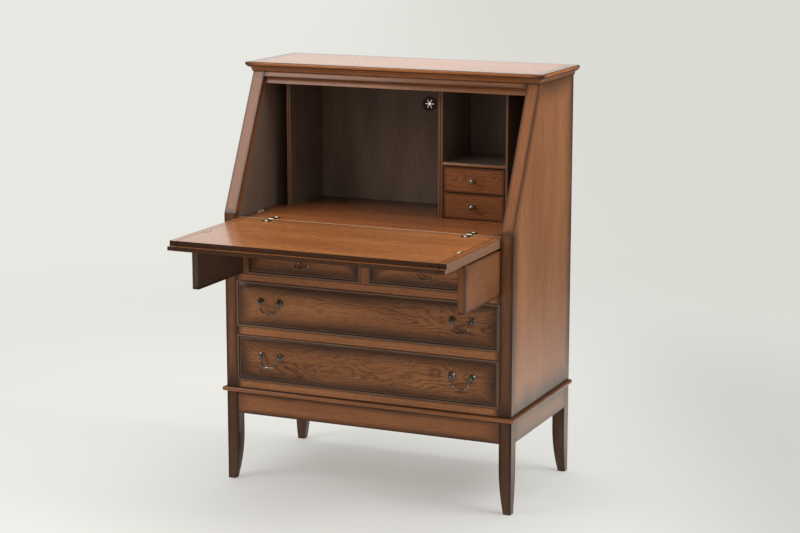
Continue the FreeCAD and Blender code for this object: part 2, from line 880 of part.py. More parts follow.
place(shelf, bay_left, 0, 0)
piece("pigeonhole_shelf", shelf)


# Fall: a panel between two cleats, all with the same rebated front, hinged at the desk floor's edge
fall_bottom = floor_top - dim.fall_thickness
fall_step = fall_bottom + dim.fall_lip_thickness
fall_corners = [
    (hinge_line, fall_bottom),
    (hinge_line, floor_top),
    (hinge_line - fall_inner_length, floor_top),
    (hinge_line - fall_inner_length, fall_step),
    (hinge_line - fall_length, fall_step),
    (hinge_line - fall_length, fall_bottom),
]
fall_tools = []
catch_plates = []
catch_outer = fall_half - dim.catch_inset
catch_start = hinge_line - dim.catch_distance - dim.catch_length / 2
catch_along = (catch_start, catch_start + dim.catch_length)
for side, sign in SIDES:
    fall_tools.append(hinge_recess(f"fall_recess_{side}", sign * hinge_spread, -1))
    across = span(sign, catch_outer - dim.catch_width, catch_outer)
    bed = floor_top - dim.catch_thickness
    fall_tools.append(board(f"catch_bed_{side}", across, catch_along, (bed, floor_top + dim.overrun)))
    catch_plates.append(board(f"catch_plate_{side}", across, catch_along, (bed, floor_top)))
panel_blank = prism("fall_panel_blank", "YZ_Plane", fall_corners, 2 * panel_half)
place(panel_blank, -panel_half, 0, 0)
piece("fall_panel", cut("fall_panel_cut", panel_blank, fall_tools))
cleats = []
for side, sign in SIDES:
    cleat = prism(f"fall_cleat_{side}", "YZ_Plane", fall_corners, dim.cleat_width)
    place(cleat, span(sign, panel_half, fall_half)[0], 0, 0)
    cleats.append(cleat)
piece("fall_cleats", group("fall_cleats_group", cleats))
piece("catch_plates", group("catch_plates_group", catch_plates))


# Hinges: a case leaf with two knuckles and the pin, and a fall leaf with the knuckle between them
middle_half = hinge_half * dim.middle_knuckle_share
outer_low = middle_half + dim.knuckle_gap


def hinge_leaf(name, centre, direction, knuckles):
    """A leaf let into the wood on one side of the hinge line, with a neck to each of its knuckles."""
    low = floor_top - dim.hinge_leaf_thickness
    neck = direction * knuckle_room
    reach = direction * dim.hinge_leaf_length
    plate_along = (hinge_line + neck, hinge_line + reach)
    neck_along = (hinge_line, hinge_line + neck)
    if direction < 0:
        plate_along = plate_along[::-1]
        neck_along = neck_along[::-1]
    plate_across = (centre - hinge_half, centre + hinge_half)
    solids = [board(name + "_plate", plate_across, plate_along, (low, floor_top))]
    for number, (x_low, x_high) in enumerate(knuckles, start=1):
        start = centre + x_low
        width = x_high - x_low
        across = (start, centre + x_high)
        radius = dim.knuckle_radius
        neck_board = board(f"{name}_neck_{number}", across, neck_along, (low, floor_top))
        barrel = rod(f"{name}_knuckle_{number}", "X", radius, width, start, hinge_line, floor_top)
        solids += [neck_board, barrel]
    return solids


case_leaves = []
fall_leaves = []
for side, sign in SIDES:
    centre = sign * hinge_spread
    outer_knuckles = [(-hinge_half, -outer_low), (outer_low, hinge_half)]
    case_solids = hinge_leaf(f"case_leaf_{side}", centre, 1, outer_knuckles)
    pin_start = centre - hinge_half
    length = dim.hinge_width
    pin = rod(f"hinge_pin_{side}", "X", dim.hinge_pin_radius, length, pin_start, hinge_line, floor_top)
    case_solids.append(pin)
    case_leaves.append(fuse(f"case_leaf_{side}", case_solids))
    fall_solids = hinge_leaf(f"fall_leaf_{side}", centre, -1, [(-middle_half, middle_half)])
    bore_radius = dim.hinge_pin_radius + dim.running_clearance
    bore = rod(f"fall_leaf_bore_{side}", "X", bore_radius, length, pin_start, hinge_line, floor_top)
    fall_leaves.append(cut(f"fall_leaf_cut_{side}", fuse(f"fall_leaf_{side}", fall_solids), [bore]))
piece("hinge_case_leaves", group("hinge_case_leaves_group", case_leaves))
piece("hinge_fall_leaves", group("hinge_fall_leaves_group", fall_leaves))


# Lopers, pulled out: a board with a raised pad at the front and a groove for the stop pins
loper_front = dim.loper_set_back - dim.loper_reach
loper_back = back_face - dim.loper_back_gap - dim.loper_reach
loper_bottom = small_opening_bottom + dim.running_gap
pad_top = fall_bottom - dim.fall_rest_gap
pad_start = loper_front + dim.pad_front
loper_corners = [
    (loper_front, loper_bottom),
    (loper_back, loper_bottom),
    (loper_back, loper_top),
    (pad_start + dim.pad_length, loper_top),
    (pad_start + dim.pad_length, pad_top),
    (pad_start, pad_top),
    (pad_start, loper_top),
    (loper_front, loper_top),
]
pin_room = dim.stop_pin_radius + dim.stop_pin_end_gap
groove_start = stop_pin_places[0] - dim.loper_reach - pin_room
groove_end = stop_pin_places[1] + pin_room
groove_half = dim.groove_width / 2
for side, sign in SIDES:
    low = loper_middle - dim.loper_thickness / 2
    blank = prism(f"loper_{side}_blank", "YZ_Plane", loper_corners, dim.loper_thickness)
    place(blank, span(sign, low, low + dim.loper_thickness)[0], 0, 0)
    across = span(sign, loper_middle - groove_half, loper_middle + groove_half)
    groove = board(
        f"loper_{side}_groove",
        across,
        (groove_start, groove_end),
        (loper_top - dim.groove_depth, loper_top + dim.overrun),
    )
    piece(f"loper_{side}", cut(f"loper_{side}_cut", blank, [groove]))


# Drawers
def drawer_box(name, across, along, bottom, height, wall, floor_thickness, lift):
    """Two sides, a back and a bottom let in between them, as separate boards."""
    up = (bottom, bottom + height)
    inner = (across[0] + wall, across[1] - wall)
    depth = (along[0], along[1] - wall)
    floor_levels = (bottom + lift, bottom + lift + floor_thickness)
    return [
        board(name + "_side_left", (across[0], inner[0]), along, up),
        board(name + "_side_right", (inner[1], across[1]), along, up),
        board(name + "_back", inner, (depth[1], along[1]), up),
        board(name + "_bottom", inner, depth, floor_levels),
    ]


front_back = dim.front_set_back + dim.front_thickness
front_face = dim.front_set_back - dim.front_crown


def bevelled_front(name, across, up):
    """A drawer front: a slab whose face rises on a low bevel all round."""
    slab = board(name + "_slab", across, (dim.front_set_back, front_back), up)
    crown = doc.addObject("Part::Wedge", name + "_crown")
    bevel = dim.front_bevel
    bounds = {
        "Xmin": bevel,
        "Zmin": bevel,
        "Ymin": size_of(0),
        "X2min": size_of(0),
        "Z2min": size_of(0),
        "Xmax": across[1] - across[0] - bevel,
        "Zmax": up[1] - up[0] - bevel,
        "Ymax": dim.front_crown,
        "X2max": across[1] - across[0],
        "Z2max": up[1] - up[0],
    }
    for limit, size in bounds.items():
        bind(crown, limit, size)
    place(crown, across[0], front_face, up[0])
    return fuse(name + "_shape", [slab, crown])


post_half = dim.post_spacing / 2
pivot_y = front_face - dim.pivot_distance
leg_half = post_half - dim.post_radius - dim.bail_post_gap - dim.bail_elbow


def handle_post(name, x, level, inward):
    """A turned post: a domed rosette, a neck and a round end, bored from its inner side for the bail."""
    corners = [
        (0, 0),
        (dim.rosette_radius, 0),
        (dim.rosette_radius, -dim.rosette_edge),
        (dim.post_radius, -dim.rosette_height),
        (dim.post_radius, -dim.pivot_distance),
        (0, -dim.pivot_distance - dim.post_radius),
    ]
    arcs = {2: (dim.rosette_curve, -1), 4: (dim.post_radius, -1)}
    body = turned(name + "_turned", corners, arcs)
    place(body, x, front_face, level)
    bore_length = dim.post_radius + dim.overrun + dim.bail_pin_end_gap
    bore_start = x - dim.bail_pin_end_gap if inward > 0 else x + dim.bail_pin_end_gap - bore_length
    bore_radius = dim.bail_radius + dim.running_clearance
    bore = rod(name + "_bore", "X", bore_radius, bore_length, bore_start, pivot_y, level)
    return cut(name, body, [bore])


def bail(name, centre, level):
    """A swinging handle of round wire: a pin in each post, two legs and a straight grip."""
    body = doc.addObject("PartDesign::Body", name + "_body")
    reach = post_half - leg_half
    elbow, corner, drop = dim.bail_elbow, dim.bail_corner, dim.bail_drop
    far = 2 * post_half
    points = [
        (0, 0),
        (reach - elbow, 0),
        (reach, -elbow),
        (reach, corner - drop),
        (reach + corner, -drop),
        (far - reach - corner, -drop),
        (far - reach, corner - drop),
        (far - reach, -elbow),
        (far - reach + elbow, 0),
        (far, 0),
    ]
    arcs = {1: (elbow, -1), 3: (corner, 1), 5: (corner, 1), 7: (elbow, -1)}
    path = outline(body, name + "_path", "XZ_Plane", points, arcs, closed=False)
    section = body.newObject("Sketcher::SketchObject", name + "_section")
    plane = next(f for f in body.Origin.OriginFeatures if f.Role == "YZ_Plane")
    section.AttachmentSupport = [(plane, "")]
    section.MapMode = "FlatFace"
    wire_circle = Part.Circle(FreeCAD.Vector(), FreeCAD.Vector(0, 0, 1), dim.bail_radius.value)
    section.addGeometry(wire_circle, False)
    section.addConstraint(Sketcher.Constraint("Coincident", 0, 3, -1, 1))
    rule = section.addConstraint(Sketcher.Constraint("Radius", 0, float(dim.bail_radius.value)))
    bind(section, f"Constraints[{rule}]", dim.bail_radius)
    doc.recompute()
    pipe = body.newObject("PartDesign::AdditivePipe", name + "_wire")
    pipe.Profile = section
    pipe.Spine = (path, [f"Edge{number + 1}" for number in range(len(points) - 1)])
    place(body, centre - post_half, pivot_y, level)
    piece(name, body)


def fitted_drawer(name, handles, post_level):
    """A drawer for one of the beaded openings, with its front, box, posts and bails."""
    across, up = OPENINGS[name]
    edge = dim.bead_width + dim.front_gap
    front_across = (across[0] + edge, across[1] - edge)
    front_up = (up[0] + edge, up[1] - edge)
    shape = bevelled_front(name + "_front", front_across, front_up)
    if name == LOCKED_DRAWER:
        hole_radius = dim.plug_radius + dim.running_clearance
        hole_length = dim.front_thickness + dim.front_crown + 2 * dim.overrun
        hole_start = front_face - dim.overrun
        level = post_level - dim.key_drop
        hole = rod("plug_hole", "Y", hole_radius, hole_length, handles[0][1], hole_start, level)
        shape = cut(name + "_front_bored", shape, [hole])
    piece(name + "_front", shape)
    box_inset = dim.bead_width + dim.box_side_gap
    box_across = (across[0] + box_inset, across[1] - box_inset)
    box_along = (front_back, back_face - dim.box_back_gap)
    bottom = up[0] + dim.bead_width + dim.running_gap
    boards = drawer_box(
        name,
        box_across,
        box_along,
        bottom,
        dim.box_height,
        dim.box_wall,
        dim.box_bottom_thickness,
        dim.box_bottom_lift,
    )
    piece(name + "_box", group(name + "_box_group", boards))
    posts = []
    for suffix, centre in handles:
        for post_side, sign in SIDES:
            post_name = f"{name}_post{suffix}_{post_side}"
            posts.append(handle_post(post_name, centre + sign * post_half, post_level, -sign))
        bail(f"{name}_bail{suffix}", centre, post_level)
    piece(name + "_handle_posts", group(name + "_posts_group", posts))


LOCKED_DRAWER = "small_left_drawer"
handle_spread = opening_half - dim.handle_inset
wide_handles = [("_left", -handle_spread), ("_right", handle_spread)]
small_middle = (muntin_half + partition_inner) / 2
lower_level = lower_opening_bottom + dim.lower_opening_height / 2 + dim.handle_rise
upper_level = upper_opening_bottom + dim.upper_opening_height / 2 + dim.handle_rise
small_level = small_opening_bottom + dim.small_opening_height / 2 - dim.small_handle_drop
fitted_drawer("lower_drawer", wide_handles, lower_level)
fitted_drawer("upper_drawer", wide_handles, upper_level)
fitted_drawer("small_left_drawer", [("", -small_middle)], small_level)
fitted_drawer("small_right_drawer", [("", small_middle)], small_level)

# The key of the left small drawer turns with its plug
key_level = small_level - dim.key_drop
plug_start = front_face - dim.plug_proud
bow_y = front_face - dim.key_bow_distance
key_x = -small_middle
bow_thickness = dim.key_bow_thickness
bow_low = key_x - bow_thickness / 2
plug = rod("key_plug", "Y", dim.plug_radius, front_back - plug_start, key_x, plug_start, key_level)
shank = rod("key_shank", "Y", dim.key_shank_radius, plug_start - bow_y, key_x, bow_y, key_level)
bow_disc = rod("key_bow_disc", "X", dim.key_bow_radius, bow_thickness, bow_low, bow_y, key_level)
bow_hole = rod("key_bow_hole", "X", dim.key_bow_hole_radius, bow_thickness, bow_low, bow_y, key_level)
shank_and_bow = cut("key_bow", fuse("key_blank", [shank, bow_disc]), [bow_hole])
piece("drawer_key", fuse("drawer_key_shape", [plug, shank_and_bow]))


# Two little drawers in the pigeonhole, each with a turned knob
def knob(name, x, y, level):
    neck_end = dim.knob_foot_height + dim.knob_neck_length
    sink = root(dim.knob_radius * dim.knob_radius - dim.knob_neck_radius * dim.knob_neck_radius)
    corners = [
        (0, 0),
        (dim.knob_foot_radius, 0),
        (dim.knob_foot_radius, -dim.knob_foot_height),
        (dim.knob_neck_radius, -dim.knob_foot_height),
        (dim.knob_neck_radius, -neck_end),
        (dim.knob_radius, -neck_end - sink),
        (0, -neck_end - sink - dim.knob_radius),
    ]
    body = turned(name + "_body", corners, {4: (dim.knob_radius, -1), 5: (dim.knob_radius, -1)})
    place(body, x, y, level)
    piece(name, body)


little_across = (bay_left + dim.little_front_gap, bay_right - dim.little_front_gap)
little_front_height = (dim.shelf_rise - 3 * dim.little_front_gap) / 2
little_along = (pigeonhole_front, pigeonhole_front + dim.little_front_thickness)
little_box_along = (little_along[1], back_face - dim.little_box_back_gap)
for name, front_low, box_low in (
    ("pigeonhole_drawer_lower", floor_top + dim.little_front_gap, floor_top + dim.running_gap),
    (
        "pigeonhole_drawer_upper",
        floor_top + 2 * dim.little_front_gap + little_front_height,
        strip_top + dim.running_gap,
    ),
):
    front_levels = (front_low, front_low + little_front_height)
    front_board = board(name + "_front", little_across, little_along, front_levels)
    boards = drawer_box(
        name,
        little_across,
        little_box_along,
        box_low,
        dim.little_box_height,
        dim.little_box_wall,
        dim.little_box_bottom_thickness,
        dim.little_box_bottom_thickness,
    )
    piece(name, group(name + "_group", [front_board] + boards))
    middle = (bay_left + bay_right) / 2
    knob(name + "_knob", middle, pigeonhole_front, front_low + little_front_height / 2)


# Check every object, then write each sub-part to its own file
doc.recompute()
for thing in doc.Objects:
    if {"Invalid", "Error"} & set(thing.State):
        raise RuntimeError(f"{thing.Name} failed: {thing.State}")
for name, thing in pieces.items():
    if thing.Shape.isNull() or not thing.Shape.isValid() or not thing.Shape.Solids:
        raise RuntimeError(f"{name} has no valid solid")
os.makedirs("parts", exist_ok=True)
for name, thing in pieces.items():
    thing.Shape.exportStep(f"parts/{name}.step")
    print(f"{name}: {len(thing.Shape.Solids)} solids")
print(len(pieces), "sub-parts")
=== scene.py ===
import math

import bmesh
import bpy
from mathutils import Matrix, Vector


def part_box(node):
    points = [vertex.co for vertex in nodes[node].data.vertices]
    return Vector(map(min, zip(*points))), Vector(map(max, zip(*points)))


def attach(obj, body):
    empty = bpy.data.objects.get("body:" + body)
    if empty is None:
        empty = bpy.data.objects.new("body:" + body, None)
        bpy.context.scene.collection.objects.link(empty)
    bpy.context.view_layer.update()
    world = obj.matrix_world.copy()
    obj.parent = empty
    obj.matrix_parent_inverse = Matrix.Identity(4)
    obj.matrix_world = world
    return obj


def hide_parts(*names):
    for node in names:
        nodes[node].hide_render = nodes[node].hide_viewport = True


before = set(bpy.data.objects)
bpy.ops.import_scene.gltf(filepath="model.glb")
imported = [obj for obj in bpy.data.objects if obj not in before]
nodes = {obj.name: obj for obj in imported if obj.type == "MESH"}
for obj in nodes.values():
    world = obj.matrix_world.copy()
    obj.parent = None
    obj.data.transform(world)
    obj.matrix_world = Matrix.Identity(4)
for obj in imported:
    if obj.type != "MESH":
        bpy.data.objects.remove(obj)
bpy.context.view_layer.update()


# Legs
# Four solid oak legs, square at the top and curved in to a slim foot on their inner faces.
# Each is sawn from one stick, planed, stained red-brown with darker arrises, and lacquered.
class Finish:
    """A socket of a finish, so that its shader maths reads as plain expressions."""

    def __init__(self, tree, socket=None):
        self.tree = tree
        self.socket = socket

    def node(self, kind, settings, sockets, output=0):
        """Adds a node, its settings first and then the values or links of its sockets."""
        made = self.tree.nodes.new(kind)
        for key, value in settings.items():
            if key == "stops":
                stops = made.color_ramp.elements
                stops.remove(stops[-1])
                for number, (at, grey) in enumerate(value):
                    stop = stops[0] if number == 0 else stops.new(at)
                    stop.position = at
                    stop.color = (grey, grey, grey, 1.0)
            else:
                setattr(made, key, value)
        for key, value in sockets.items():
            if isinstance(value, Finish):
                self.tree.links.new(value.socket, made.inputs[key])
            else:
                made.inputs[key].default_value = value
        return Finish(self.tree, made.outputs[output])

    def math(self, operation, *others):
        values = dict(enumerate((self, *others)))
        return self.node("ShaderNodeMath", {"operation": operation}, values)

    def __add__(self, other):
        return self.math("ADD", other)

    def __mul__(self, other):
        return self.math("MULTIPLY", other)

    def __sub__(self, other):
        return self.math("SUBTRACT", other)

    def __rsub__(self, other):
        return self.node("ShaderNodeMath", {"operation": "SUBTRACT"}, {0: other, 1: self})

    def __truediv__(self, other):
        return self.math("DIVIDE", other)

    def __abs__(self):
        return self.math("ABSOLUTE")

    __radd__ = __add__
    __rmul__ = __mul__

    def rise(self, low, high):
        """0 below low, 1 above high, with a soft step between."""
        settings = {"interpolation_type": "SMOOTHSTEP"}
        return self.node("ShaderNodeMapRange", settings, {0: self, 1: low, 2: high, 3: 0.0, 4: 1.0})

    def between(self, tone, other_tone):
        """The first tone where this is 0, the other where it is 1."""
        tones = [(*t, 1.0) if isinstance(t, tuple) else t for t in (tone, other_tone)]
        settings = {"data_type": "RGBA", "blend_type": "MIX"}
        return self.node("ShaderNodeMix", settings, {0: self, 6: tones[0], 7: tones[1]}, output=2)


def fresh_finish(name):
    """A new material, a Finish to start its nodes from, and its shader's sockets."""
    material = bpy.data.materials.new(name)
    material.use_nodes = True
    tree = material.node_tree
    return material, Finish(tree), tree.nodes["Principled BSDF"].inputs


def feed(sockets, **values):
    """Sets the shader's sockets to a number or to a varying Finish."""
    for name, value in values.items():
        socket = sockets[name.replace("_", " ")]
        if isinstance(value, Finish):
            value.tree.links.new(value.socket, socket)
        else:
            socket.default_value = value


def coordinates(start, kind):
    """Where a point lies (Object), which way it faces (Normal) or a world's direction (Generated)."""
    return start.node("ShaderNodeTexCoord", {}, {}, output=kind)


def axes(vector):
    """The x, y and z of a vector."""
    parted = vector.node("ShaderNodeSeparateXYZ", {}, {0: vector})
    outputs = parted.socket.node.outputs
    return {axis: Finish(vector.tree, outputs[number]) for number, axis in enumerate("xyz")}


def leaned(parts, angle):
    """The x, y and z of a vector after a turn about the x axis."""
    cosine, sine = math.cos(angle), math.sin(angle)
    y, z = parts["y"], parts["z"]
    return {"x": parts["x"], "y": y * cosine - z * sine, "z": y * sine + z * cosine}


def speckle(space, per_metre, seed, detail):
    """Noise from 0 to 1 with so many grains per metre along each axis of the space."""
    shift = (seed, seed * 1.7, seed * 2.3)
    settings = {"operation": "MULTIPLY_ADD"}
    moved = space.node("ShaderNodeVectorMath", settings, {0: space, 1: per_metre, 2: shift})
    return space.node("ShaderNodeTexNoise", {}, {"Vector": moved, "Scale": 1.0, "Detail": detail})


def bumps(height, strength, distance):
    """A normal that follows the fine bumps of a height."""
    sockets = {"Strength": strength, "Distance": distance, "Height": height}
    return height.node("ShaderNodeBump", {}, sockets)


def reach(node):
    """Where a CAD node begins and ends along each axis."""
    low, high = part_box(node)
    return dict(zip("xyz", zip(low, high)))


def wear_finish(node, material):
    """Gives a CAD node its finish."""
    nodes[node].data.materials.clear()
    nodes[node].data.materials.append(material)


MERGE_WITHIN = 0.00001
SHARP_CORNER = math.radians(35)


def ease_edges(node, width):
    """Takes the sharpness off a CAD node's edges, as sanding does."""
    welded = nodes[node].modifiers.new("joined", "WELD")
    welded.merge_threshold = MERGE_WITHIN
    eased = nodes[node].modifiers.new("eased", "BEVEL")
    eased.width = width
    eased.segments = 2
    eased.limit_method = "ANGLE"
    eased.angle_limit = SHARP_CORNER


# Each kind of mark in the oak: grains per metre along, across and through the board, a step of the
# seed that sets it apart from the other kinds, and the detail of its noise.
OAK_MARKS = {
    "fibre": ((14.0, 520.0, 520.0), 3.0, 3.0),
    "pores": ((110.0, 2100.0, 2100.0), 5.0, 1.0),
    "cloud": ((2.2, 11.0, 11.0), 7.0, 3.0),
    "fleck": ((62.0, 640.0, 640.0), 9.0, 2.0),
    "uneven": ((5.0, 16.0, 16.0), 11.0, 2.0),
    "bold": ((3.0, 9.0, 9.0), 13.0, 1.0),
    "feather": ((45.0, 210.0, 210.0), 15.0, 2.0),
}
# How dark a growth ring is from its first wood to its last.
RING_STOPS = [(0.0, 1.0), (0.14, 0.55), (0.42, 0.06), (0.9, 0.0), (1.0, 0.85)]
# How the rings lie in a board, in metres and per metre: their spacing, how far they wander and how
# often along and across, the core they close round, and how far off its middle the heart lies. Then
# how strongly lines, flecks and clouds show, and how ragged the lines are.
STRAIGHT = {
    "spacing": 0.0065,
    "wander": 0.012,
    "run": 1.6,
    "cross": 9.0,
    "core": 0.0,
    "off": 0.35,
    "line": 0.35,
    "fleck": 0.3,
    "cloud": 0.8,
    "feather": 0.0015,
}
STAIN = {
    "edge": (0.052, 0.022, 0.012),
    "low": (0.212, 0.076, 0.026),
    "high": (0.382, 0.150, 0.055),
    "line": (0.092, 0.031, 0.011),
}
# In fades' widths, enough to count as clear of any edge.
WELL_INSIDE = 9.0
# Metres from an edge or a line over which the painted arris highlight and the painted highlight along the
# hinge line end softly.
ARRIS_END = (0.0016, 0.0026)
HIGHLIGHT_LINE_END = (0.0038, 0.0058)


def oak_mark(space, kind, seed):
    """One kind of mark in the oak, from 0 to 1."""
    per_metre, step, detail = OAK_MARKS[kind]
    return speckle(space, per_metre, seed + step, detail)


def ring_lines(space, from_heart, figure, seed):
    """The dark first wood of each growth ring, where a board is sawn so far from the tree's heart."""
    drift = speckle(space, (figure["run"], figure["cross"], figure["cross"]), seed, 2.0)
    feather = oak_mark(space, "feather", seed)
    radius = (from_heart * from_heart + figure["core"] ** 2).math("SQRT")
    radius = radius + (drift - 0.5) * figure["wander"] + (feather - 0.5) * figure["feather"]
    ring = (radius / figure["spacing"]).math("FRACT")
    return ring.node("ShaderNodeValToRGB", {"stops": RING_STOPS}, {0: ring})


def to_edge(at, span, axis):
    """How far a point is inside the nearer end of a span."""
    begin, end = span[axis]
    return (end - begin) / 2 - abs(at[axis] - (begin + end) / 2)


def inside_edges(at, face, spans, fade):
    """0 at the edges of the spans and 1 a fade's width inside. A face doesn't fade along its normal."""
    widest = None
    for span in spans:
        inside = None
        for axis, width in fade.items():
            looks_along = abs(face[axis]).rise(0.72, 0.95)
            from_edge = to_edge(at, span, axis) / width + looks_along * WELL_INSIDE
            inside = from_edge if inside is None else inside.math("MINIMUM", from_edge)
        widest = inside if widest is None else widest.math("MAXIMUM", inside)
    return widest


def stain_oak(
    node,
    grain,
    fade,
    seed,
    spans=None,
    figure=STRAIGHT,
    tones=STAIN,
    lean=None,
    swap=None,
    front_stain_and_shade=0.0,
    dark_sides_and_gap_shade=0.0,
    arris_highlight=None,
    other_face=None,
    hinge_highlight=None,
    ends=None,
    gloss=0.27,
    coat=0.25,
    ease=0.001,
):
    """Oak with its grain along, across and through the axes named, stained darker at its edges.

    The fade is the width of the dark edge along each axis of the spans. A lean turns the figure with a
    slanted board, and further than the swap from the middle the boards run from front to back.
    """
    material, start, sockets = fresh_finish(node + "_oak")
    at = axes(coordinates(start, "Object"))
    face = axes(coordinates(start, "Normal"))
    if lean:
        at = leaned(at, lean)
        face = leaned(face, lean)
    run = dict(at)
    if swap:
        turned = abs(at["x"]).math("GREATER_THAN", swap)
        run["x"] = at["x"] + (at["y"] - at["x"]) * turned
        run["y"] = at["y"] + (at["x"] - at["y"]) * turned
    along, across, through = (run[axis] for axis in grain)
    space = start.node("ShaderNodeCombineXYZ", {}, {0: along, 1: across, 2: through})

    spans = spans or [reach(node)]
    low, high = spans[0][grain[1]]
    heart = (low + high) / 2 + figure["off"]
    early = ring_lines(space, across - heart, figure, seed)
    fibre = oak_mark(space, "fibre", seed)
    pores = oak_mark(space, "pores", seed).rise(0.56, 0.70)
    fleck = oak_mark(space, "fleck", seed).rise(0.46, 0.72)
    cloud = oak_mark(space, "cloud", seed)
    bold = oak_mark(space, "bold", seed).rise(0.38, 0.66)

    # The marks lie over one another: clouds and fibres, ring lines, flecks, then pores.
    tone = (0.4 + (cloud - 0.5) * figure["cloud"] + fibre * 0.5).rise(0.42, 0.86)
    colour = tone.between(tones["low"], tones["high"])
    colour = (early * figure["line"] * (0.35 + bold * 0.65)).between(colour, tones["line"])
    colour = (fleck * figure["fleck"]).between(colour, tones["line"])
    colour = (pores * (0.12 + early * 0.4)).between(colour, tones["line"])

    # Over them come the stain of edges, a darker front and darker sides (partly painted shade), then a
    # painted highlight along the arris, the tones of another face, a painted highlight along a line, and
    # the tone of the ends.
    if fade:
        uneven = oak_mark(space, "uneven", seed)
        clear = (inside_edges(at, face, spans, fade) + (uneven - 0.5) * 0.55).rise(-0.15, 1.0)
        colour = clear.between(tones["edge"], colour)
    # Front faces go towards the front tone: a dark stain on the fall's edge, painted shade on the front
    # stiles, and a lighter lipping tone on the interior boards.
    if front_stain_and_shade:
        fronted = (face["y"] * -1.0).rise(0.5, 0.9)
        colour = (fronted * front_stain_and_shade).between(colour, tones.get("front", tones["edge"]))
    # Faces that don't look through the board go darker: on the aprons a darker stain, on the beads and
    # drawer fronts painted shade in the gaps.
    if dark_sides_and_gap_shade:
        sided = (1 - abs(face[grain[2]])).rise(0.25, 0.6)
        colour = (sided * dark_sides_and_gap_shade).between(colour, tones["edge"])
    # A painted highlight: a pale band along the outer arris of the face.
    if arris_highlight:
        gaps = [to_edge(at, spans[0], axis) for axis in grain[:2]]
        faced = abs(face[grain[2]]).rise(0.3, 0.6)
        arris = (1 - gaps[0].math("MINIMUM", gaps[1]).rise(*ARRIS_END)) * faced
        colour = (arris * 0.75).between(colour, arris_highlight)
    if other_face:
        axis, side, other_tones = other_face
        turned_away = (face[axis] * side).rise(0.5, 0.9)
        other_colour = tone.between(other_tones["low"], other_tones["high"])
        colour = turned_away.between(colour, other_colour)
    # A painted highlight: a pale line along the given y, on faces that look up.
    if hinge_highlight:
        line, line_tone = hinge_highlight
        on_line = (1 - abs(at["y"] - line).rise(*HIGHLIGHT_LINE_END)) * face["z"].rise(0.2, 0.6)
        colour = on_line.between(colour, line_tone)
    # End faces take the ends' tone: a dark end-grain stain on the base board, a painted sheen on the fall's
    # cleats.
    if ends:
        colour = (abs(face["x"]).rise(0.6, 0.95) * 0.6).between(colour, ends)

    height = fibre * 0.25 - early * 0.35 - pores * 0.6
    feed(sockets, Base_Color=colour, Roughness=gloss + fibre * 0.12 + pores * 0.1)
    feed(sockets, Normal=bumps(height, strength=0.35, distance=0.0002))
    feed(sockets, Specular_IOR_Level=0.28, Coat_Weight=coat, Coat_Roughness=0.14)
    wear_finish(node, material)
    if ease:
        ease_edges(node, ease)


LEG = {
    "edge": (0.020, 0.010, 0.007),
    "low": (0.068, 0.027, 0.012),
    "high": (0.125, 0.050, 0.021),
    "line": (0.034, 0.013, 0.007),
}
leg_fade = {"x": 0.010, "y": 0.010}
for number, leg in enumerate(("leg_front_left", "leg_front_right", "leg_back_left", "leg_back_right")):
    stain_oak(leg, "zxy", leg_fade, 3.0 + number * 2.1, tones=LEG, ease=0.0012)


# Aprons
# Four oak boards tenoned between the tops of the legs, just under the base moulding.
# The stain is rubbed darker along every edge and towards the ends, and lighter in the middle.
leg_inner = reach("leg_front_right")["x"][0]
between_legs = (reach("leg_front_left")["y"][1], reach("leg_back_left")["y"][0])
apron = reach("aprons")
front_apron = {**apron, "x": (-leg_inner, leg_inner)}
side_apron = {**apron, "y": between_legs}
apron_fade = {"x": 0.09, "y": 0.09, "z": 0.020}
CASE_LACQUER = 0.32
stain_oak(
    "aprons",
    "xzy",
    apron_fade,
    12.0,
    spans=[front_apron, side_apron],
    swap=leg_inner,
    dark_sides_and_gap_shade=0.5,
    coat=CASE_LACQUER,
)


# Base moulding
# One oak board between the stand and the case, standing out a little all round.
# Its edge is run to a soft half round, with the stain left dark in the joints above and below.
# The moulding's top face takes darker tones: painted shade.
SHADED_LEDGE_TOP = {"low": (0.060, 0.024, 0.011), "high": (0.110, 0.045, 0.020)}
DARK_ENDS = (0.040, 0.018, 0.010)
base_fade = {"z": 0.0022}
stain_oak("base_board", "xyz", base_fade, 14.0, other_face=("z", 1.0, SHADED_LEDGE_TOP), ends=DARK_ENDS, ease=0)


# Case sides and stiles
# Each side is a board of straight oak with a stile glued along its upright and slanted front edge.
# Joint and board are stained as one face, dark along the front, the back, the top and the bottom.
# The inner faces of the case are a deeper, greyer brown: partly a darker stain and partly painted shade of
# the interior.
INSIDE_STAIN_AND_SHADE = {
    "edge": (0.036, 0.027, 0.021),
    "low": (0.118, 0.077, 0.055),
    "high": (0.200, 0.134, 0.096),
    "line": (0.060, 0.039, 0.028),
}
SIDE = {**STAIN, "low": (0.225, 0.086, 0.031), "high": (0.400, 0.168, 0.066)}
SLANT = {**STAIN, "low": (0.175, 0.060, 0.019), "high": (0.320, 0.117, 0.039)}
calm = {**STRAIGHT, "line": 0.22, "spacing": 0.009, "cloud": 0.45}
panel = reach("side_panel_right")
side_face = {"y": (reach("front_stile_right")["y"][0], panel["y"][1]), "z": panel["z"]}
side_fade = {"y": 0.060, "z": 0.085}
stile_fade = {"x": 0.013, **side_fade}
